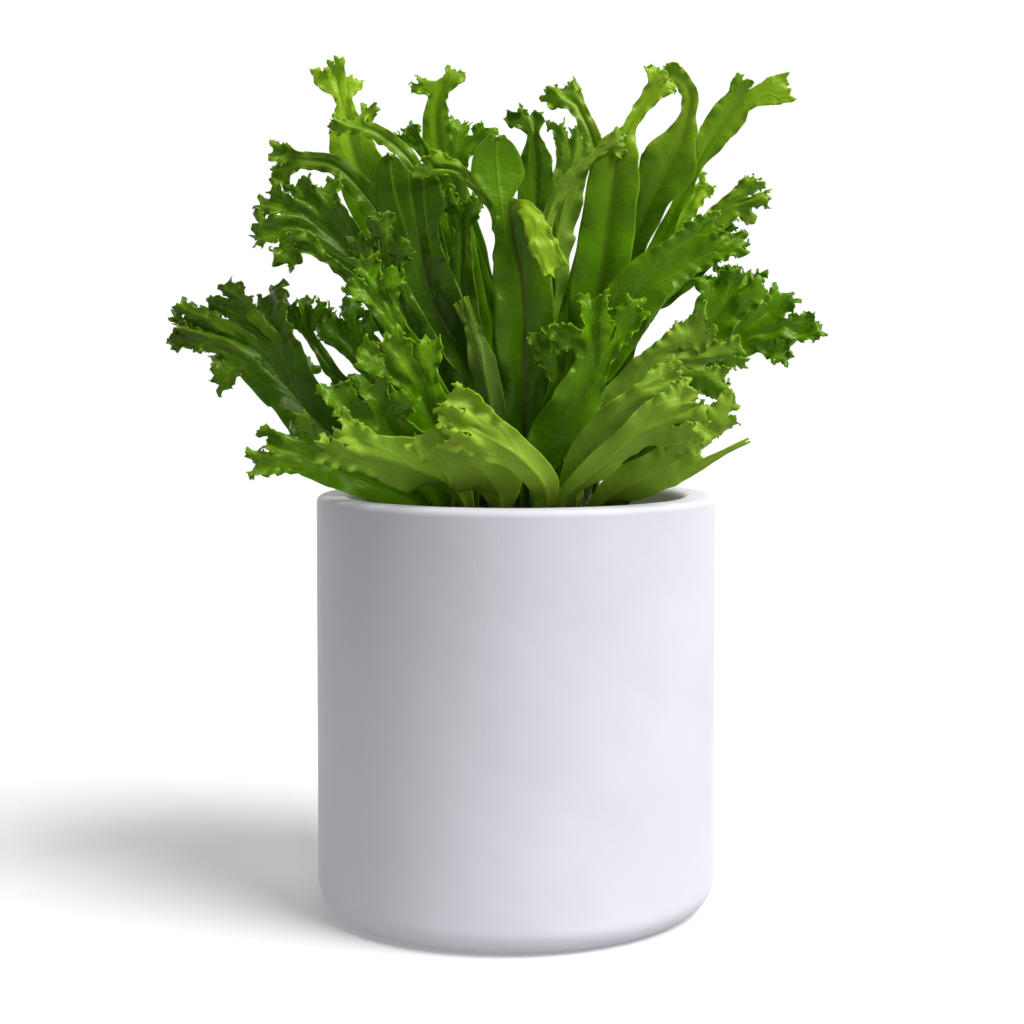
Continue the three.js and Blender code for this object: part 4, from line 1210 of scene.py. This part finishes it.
class FernLeafSettings(bpy.types.PropertyGroup):
    thickness: bpy.props.FloatProperty(
        name="Thickness", description="Scale of the blades' thickness",
        default=1.0, min=0.5, max=1.6,
    )
    deep_green: bpy.props.FloatVectorProperty(
        name="Deep green", description="Colour of old blades",
        subtype="COLOR", default=(0.015, 0.066, 0.0001),
    )
    fresh_green: bpy.props.FloatVectorProperty(
        name="Fresh green", description="Colour of full-grown blades",
        subtype="COLOR", default=(0.118, 0.30, 0.0003),
    )
    young_green: bpy.props.FloatVectorProperty(
        name="Young green", description="Colour of young blades, veins and edges",
        subtype="COLOR", default=(0.52, 0.72, 0.035),
    )
    underside: bpy.props.FloatVectorProperty(
        name="Underside", description="Colour that the undersides lean to",
        subtype="COLOR", default=(0.34, 0.50, 0.055),
    )


class FernPotSettings(bpy.types.PropertyGroup):
    wall: bpy.props.FloatProperty(
        name="Wall", description="Thickness of the pot's wall",
        default=0.016, unit="LENGTH", subtype="DISTANCE",
    )
    bottom: bpy.props.FloatProperty(
        name="Bottom", description="Thickness of the pot's floor",
        default=0.014, unit="LENGTH", subtype="DISTANCE",
    )
    foot_round: bpy.props.FloatProperty(
        name="Foot round", description="Rounding at the foot",
        default=0.013, unit="LENGTH", subtype="DISTANCE",
    )
    rim_round: bpy.props.FloatProperty(
        name="Rim round", description="Rounding of the rim",
        default=0.0035, unit="LENGTH", subtype="DISTANCE",
    )
    glaze: bpy.props.FloatVectorProperty(
        name="Glaze", description="Colour of the pot",
        subtype="COLOR", default=(0.78, 0.772, 0.848),
    )


class FernSoilSettings(bpy.types.PropertyGroup):
    crumbs: bpy.props.IntProperty(
        name="Crumbs", description="Number of loose crumbs on the soil", default=420
    )
    fibres: bpy.props.IntProperty(
        name="Fibres", description="Number of fibres on the crown", default=520
    )
    soil: bpy.props.FloatVectorProperty(
        name="Soil", description="Colour of the potting mix",
        subtype="COLOR", default=(0.035, 0.022, 0.014),
    )
    fibre: bpy.props.FloatVectorProperty(
        name="Fibre", description="Colour of the crown's fibres",
        subtype="COLOR", default=(0.09, 0.055, 0.025),
    )


class FernStudioSettings(bpy.types.PropertyGroup):
    floor: bpy.props.FloatVectorProperty(
        name="Floor", description="Colour of the floor",
        subtype="COLOR", default=(0.955, 0.955, 0.955),
    )
    key: bpy.props.FloatProperty(
        name="Key", description="Strength of the key light", default=3.2
    )
    room: bpy.props.FloatProperty(
        name="Room", description="Strength of the room's light in front", default=0.38
    )
    low: bpy.props.FloatProperty(
        name="Low light", description="Power of the low beam", default=58.0, unit="POWER"
    )
    backdrop: bpy.props.FloatProperty(
        name="Backdrop", description="Strength of the light behind", default=1.3
    )


# The pieces


class FERN_OT_leaves(bpy.types.Operator):
    """Build every frond, each with its crest, and dress both its faces"""

    bl_idname = "fern.leaves"
    bl_label = "Fronds"

    def execute(self, context):
        settings = context.scene.fern_leaf
        looks = [leaf_material(settings, side) for side in SIDES]
        for number, frond in enumerate(FRONDS, 1):
            count = len(frond["lobes"])
            sheet = frond_sheet({**frond, "seed": number})
            add_relief(sheet, count, number)
            add_teeth(sheet, number)
            add_fingers(sheet, number, CURLY.get(number, 1.0))
            traits = {
                "fresh": FRESH.get(number, vary(number, 30, *FRESH_REST)),
                "brown": BROWN.get(number, 0.08),
                "spores": SPORES.get(number, 0.0),
                "dark_rib": DARK_RIB.get(number, 0.0),
                "lobes": count,
            }
            # how much painted sheen the upper end of the strap gets
            pale = PAINTED_SHEEN.get(number, 0.0)
            leaf = leaf_object(f"leaf_{number:02d}", sheet, traits, pale, settings.thickness)
            for look in looks:
                leaf.data.materials.append(look)
            bpy.ops.object.modifier_apply(modifier="thickness")
            bpy.ops.object.shade_smooth()
            finish_piece(leaf, [f"frond_{number:02d}"], "frond")
        return {"FINISHED"}


def in_edit(obj, chooser, kind="FACE"):
    """Goes into edit mode with only what the chooser selects."""
    only_active(obj)
    bpy.ops.object.mode_set(mode="EDIT")
    bpy.ops.mesh.select_mode(type=kind)
    bpy.ops.mesh.select_all(action="DESELECT")
    mesh = bmesh.from_edit_mesh(obj.data)
    chooser(mesh)
    mesh.select_flush_mode()
    bmesh.update_edit_mesh(obj.data)


def leave_edit():
    bpy.ops.object.mode_set(mode="OBJECT")


def choose_top(mesh):
    high = max(v.co.z for v in mesh.verts)
    for face in mesh.faces:
        face.select = face.normal.z > 0.9 and face.calc_center_median().z > high - LEVEL


def round_edge(block, height, radius, size, steps):
    """Rounds the ring of edges at a height and a radius."""

    def on_ring(v):
        return abs(v.co.z - height) < LEVEL and abs(v.co.xy.length - radius) < 10 * LEVEL

    def choose(mesh):
        for edge in mesh.edges:
            edge.select = all(on_ring(v) for v in edge.verts)

    in_edit(block, choose, "EDGE")
    bpy.ops.mesh.bevel(offset=size, segments=steps, affect="EDGES")
    leave_edit()


def turned_block(name, radius, low, high, sides):
    """A cylinder from one height to another, with its place in its mesh."""
    bpy.ops.object.select_all(action="DESELECT")
    bpy.ops.mesh.primitive_cylinder_add(
        vertices=sides, radius=radius, depth=high - low, location=(0, 0, (high + low) / 2)
    )
    block = bpy.context.object
    block.name = block.data.name = name
    bpy.ops.object.transform_apply(location=True, rotation=True, scale=True)
    return block


class FERN_OT_pot(bpy.types.Operator):
    """Build the pot: a thick-walled cylinder with a rounded foot and rim"""

    bl_idname = "fern.pot"
    bl_label = "Pot"

    def execute(self, context):
        settings = context.scene.fern_pot
        low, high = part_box("pot")
        radius, height = high.x, high.z
        inner = radius - settings.wall
        pot = turned_block("pot_body", radius, low.z, height, CORNERS["pot"])
        in_edit(pot, choose_top)
        bpy.ops.mesh.inset(thickness=settings.wall, use_even_offset=True)
        down = (0, 0, settings.bottom - height)
        bpy.ops.mesh.extrude_region_move(TRANSFORM_OT_translate={"value": down})
        leave_edit()
        round_edge(pot, low.z, radius, settings.foot_round, 10)
        round_edge(pot, height, radius, settings.rim_round, 5)
        round_edge(pot, height, inner, settings.rim_round, 5)
        round_edge(pot, settings.bottom, inner, INNER_ROUND, 5)
        bpy.ops.object.shade_smooth_by_angle(angle=math.radians(40))
        finish_piece(pot, ["pot"], "pot", pot_material(settings))
        return {"FINISHED"}


def lumpy_top(block, radius, rings, level, lumps):
    """Cuts the block's top into rings, and raises and lowers what lies at or above a level."""
    in_edit(block, choose_top)
    for _ in range(rings):
        bpy.ops.mesh.inset(thickness=radius / (rings + 1))
    leave_edit()
    size, scale, seed = lumps
    for v in block.data.vertices:
        if v.co.z >= level:
            place = v.co * scale + Vector((seed, seed, 0))
            v.co.z += size * (noise.noise(place) + 0.5 * noise.noise(place * 2.3))


def copies(name, shape, places):
    """One mesh of many copies of a small shape, each at its own place."""
    points, faces = [], []
    for matrix in places:
        offset = len(points)
        points += [matrix @ v.co for v in shape.vertices]
        faces += [[offset + k for k in face.vertices] for face in shape.polygons]
    mesh = bpy.data.meshes.new(name)
    mesh.from_pydata(points, [], faces)
    return placed(name, mesh)


def small_stone():
    """A crumb of the mix: a low ball knocked out of round."""
    bpy.ops.object.select_all(action="DESELECT")
    bpy.ops.mesh.primitive_ico_sphere_add(subdivisions=1, radius=1)
    stone = bpy.context.object
    for index, v in enumerate(stone.data.vertices):
        v.co *= vary(index, 3, 1, CRUMB_UNEVEN)
    return stone


class FERN_OT_soil(bpy.types.Operator):
    """Build the soil with its lumps and loose crumbs"""

    bl_idname = "fern.soil"
    bl_label = "Soil"

    def execute(self, context):
        settings = context.scene.fern_soil
        low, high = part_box("soil")
        radius = high.x
        top = (SOIL_TOP - LUMP_ROOM) * MM
        soil = turned_block("soil_body", radius, low.z, top, CORNERS["soil"])
        round_edge(soil, low.z, radius, INNER_ROUND, 3)
        lumpy_top(soil, radius, SOIL_RINGS, top - LEVEL, SOIL_LUMPS)
        mix_color, fibre = settings.soil[:], settings.fibre[:]
        ground = earth_material("soil_mix", mix_color, tinted(mix_color, 2.6), 260.0)
        finish_piece(soil, ["soil"], "soil", ground)
        stone = small_stone()
        places = []
        for index in range(settings.crumbs):
            azimuth = math.pi * draw(index, 41)
            reach = pick(index, 42, CRUMB_REACH) * POT_RADIUS
            size = pick(index, 43, CRUMB_SIZE)
            x, y = reach * math.cos(azimuth), reach * math.sin(azimuth)
            place = Matrix.Translation((x, y, top + size * CRUMB_LIFT))
            turn = Matrix.Rotation(3 * draw(index, 44), 4, (draw(index, 45), draw(index, 46), 0.5))
            flat = Matrix.Diagonal((1, pick(index, 47, (0.5, 1.1)), pick(index, 48, (0.5, 0.9)), 1))
            places.append(place @ turn @ flat @ Matrix.Scale(size, 4))
        crumbs = copies("soil_crumbs", stone.data, places)
        bpy.data.objects.remove(stone)
        grains = earth_material("soil_crumb", tinted(mix_color, 1.2), fibre, 400.0)
        finish_piece(crumbs, [], "soil", grains)
        return {"FINISHED"}


def fibre_mesh(name, count):
    """Short three-sided hairs that curve up from the crown between the stalks."""
    points, faces = [], []
    for index in range(count):
        azimuth = math.pi * draw(index, 51)
        reach = CROWN_RADIUS * FIBRE_REACH * math.sqrt(0.5 + 0.5 * draw(index, 52))
        x, y = reach * math.cos(azimuth), reach * math.sin(azimuth)
        place = Vector((x, y, CROWN_TOP - FIBRE_ROOT))
        lean = Vector((draw(index, 53), draw(index, 54), 1.3)).normalized()
        bend = Vector((draw(index, 55), draw(index, 56), -0.5)) * FIBRE_BEND
        length = pick(index, 57, FIBRE_LENGTH)
        first = len(points)
        for step in range(FIBRE_STEPS + 1):
            thick = FIBRE_HALF * (1 - FIBRE_TAPER * step)
            for angle in (corner * 2 * math.pi / 3 for corner in range(3)):
                points.append(place + Vector((thick * math.cos(angle), thick * math.sin(angle), 0)))
            lean = (lean + bend).normalized()
            place = place + lean * length / FIBRE_STEPS
        for low in range(first, first + 3 * FIBRE_STEPS, 3):
            for a, b in ((0, 1), (1, 2), (2, 0)):
                faces.append((low + a, low + b, low + 3 + b, low + 3 + a))
        end = first + 3 * FIBRE_STEPS
        faces += [(end, end + 1, end + 2), (first + 2, first + 1, first)]
    mesh = bpy.data.meshes.new(name)
    mesh.from_pydata([p * MM for p in points], [], faces)
    return mesh


class FERN_OT_crown(bpy.types.Operator):
    """Build the crown that the fronds grow from, and its fibres"""

    bl_idname = "fern.crown"
    bl_label = "Crown"

    def execute(self, context):
        settings = context.scene.fern_soil
        low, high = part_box("crown")
        radius, top = CROWN_RADIUS * MM, high.z - LUMP_ROOM * MM
        crown = turned_block("crown_body", radius, low.z, top, CORNERS["crown"])
        round_edge(crown, top, radius, CROWN_ROUND, 3)
        lumpy_top(crown, CROWN_FACE, CROWN_RINGS, SOIL_TOP * MM + CROWN_PLAIN, CROWN_LUMPS)
        fibre = settings.fibre[:]
        bark = earth_material("crown_bark", tinted(fibre, 0.45), fibre, 330.0)
        finish_piece(crown, ["crown"], "crown", bark)
        fibres = placed("crown_fibres", fibre_mesh("crown_fibres", settings.fibres))
        only_active(fibres)
        bpy.ops.object.shade_smooth()
        hair = earth_material("crown_fibre", tinted(fibre, 0.6), fibre, 500.0)
        finish_piece(fibres, [], "crown", hair)
        return {"FINISHED"}


def add_lamp(name, kind, place, aim, **settings):
    """A lamp at a place that shines toward its aim."""
    light = bpy.data.lights.new(name, kind)
    for key, value in settings.items():
        setattr(light, key, value)
    lamp = placed(name, light)
    lamp.location = place
    lamp.rotation_euler = (Vector(place) - Vector(aim)).to_track_quat("Z", "Y").to_euler()


def room_light(settings):
    """A room that is bright behind, calm in front and a little brighter from below."""
    n = Nodes(bpy.data.worlds.new("studio_room"))
    way = n.node("ShaderNodeTexCoord", {}).outputs["Generated"]
    parts = n.node("ShaderNodeSeparateXYZ", {0: way}).outputs
    behind = n.ramp(parts[1], 0.1, 0.75, settings.room, settings.backdrop)
    below = n.ramp(parts[2], -0.5, -0.05, 1.15, 1.0)
    strength = {"Strength": n.times(behind, below)}
    return n.close("ShaderNodeOutputWorld", "ShaderNodeBackground", strength)


def add_camera(scene):
    lens = bpy.data.cameras.new("photo_view")
    lens.lens = LENS
    lens.sensor_width = 36
    lens.shift_x, lens.shift_y = LENS_SHIFT
    lens.clip_start = 0.01
    camera = placed("photo_view", lens)
    camera.location = CAMERA_PLACE
    camera.rotation_euler = (math.radians(90 - CAMERA_TILT), 0, 0)
    scene.camera = camera


class FERN_OT_studio(bpy.types.Operator):
    """Build the floor, the room's light, the lamps and the camera"""

    bl_idname = "fern.studio"
    bl_label = "Studio"

    def execute(self, context):
        scene, settings = context.scene, context.scene.fern_studio
        bpy.ops.object.select_all(action="DESELECT")
        bpy.ops.mesh.primitive_plane_add(size=FLOOR_SIZE, location=(0, 0, 0))
        floor = context.object
        floor.name = "studio_floor"
        floor.data.materials.append(floor_material(settings))
        floor.visible_diffuse = False
        scene.world = room_light(settings)
        add_lamp(
            "key_light", "SUN", KEY_PLACE, (0, 0, 0),
            energy=settings.key, angle=math.radians(KEY_ANGLE),
        )
        # a soft beam on the pot's lower half, as a bright floor gives
        add_lamp(
            "low_light", "SPOT", LOW_PLACE, LOW_AIM, energy=settings.low,
            spot_size=math.radians(LOW_CONE), spot_blend=1.0, shadow_soft_size=LOW_SIZE,
        )
        add_camera(scene)
        scene.view_settings.view_transform = "Standard"
        return {"FINISHED"}


class FERN_PT_panel(bpy.types.Panel):
    """Lists the fern's settings and its pieces"""

    bl_idname = "FERN_PT_panel"
    bl_label = "Fern in a pot"
    bl_space_type = "VIEW_3D"
    bl_region_type = "UI"
    bl_category = "Fern"

    def draw(self, context):
        for group in (getattr(context.scene, name) for name in SETTINGS):
            box = self.layout.box()
            for entry in group.bl_rna.properties.keys():
                if entry not in {"rna_type", "name"}:
                    box.prop(group, entry)
        for operator in OPERATORS:
            self.layout.operator(operator.bl_idname)


SETTINGS = {
    "fern_leaf": FernLeafSettings,
    "fern_pot": FernPotSettings,
    "fern_soil": FernSoilSettings,
    "fern_studio": FernStudioSettings,
}
OPERATORS = (FERN_OT_studio, FERN_OT_pot, FERN_OT_soil, FERN_OT_crown, FERN_OT_leaves)


def register():
    for made in (*SETTINGS.values(), *OPERATORS, FERN_PT_panel):
        bpy.utils.register_class(made)
    for name, group in SETTINGS.items():
        setattr(bpy.types.Scene, name, bpy.props.PointerProperty(type=group))


def unregister():
    for name in SETTINGS:
        delattr(bpy.types.Scene, name)
    for made in reversed((*SETTINGS.values(), *OPERATORS, FERN_PT_panel)):
        bpy.utils.unregister_class(made)


def main():
    register()
    bpy.ops.fern.studio()
    bpy.ops.fern.pot()
    bpy.ops.fern.soil()
    bpy.ops.fern.crown()
    bpy.ops.fern.leaves()


if __name__ == "__main__":
    main()
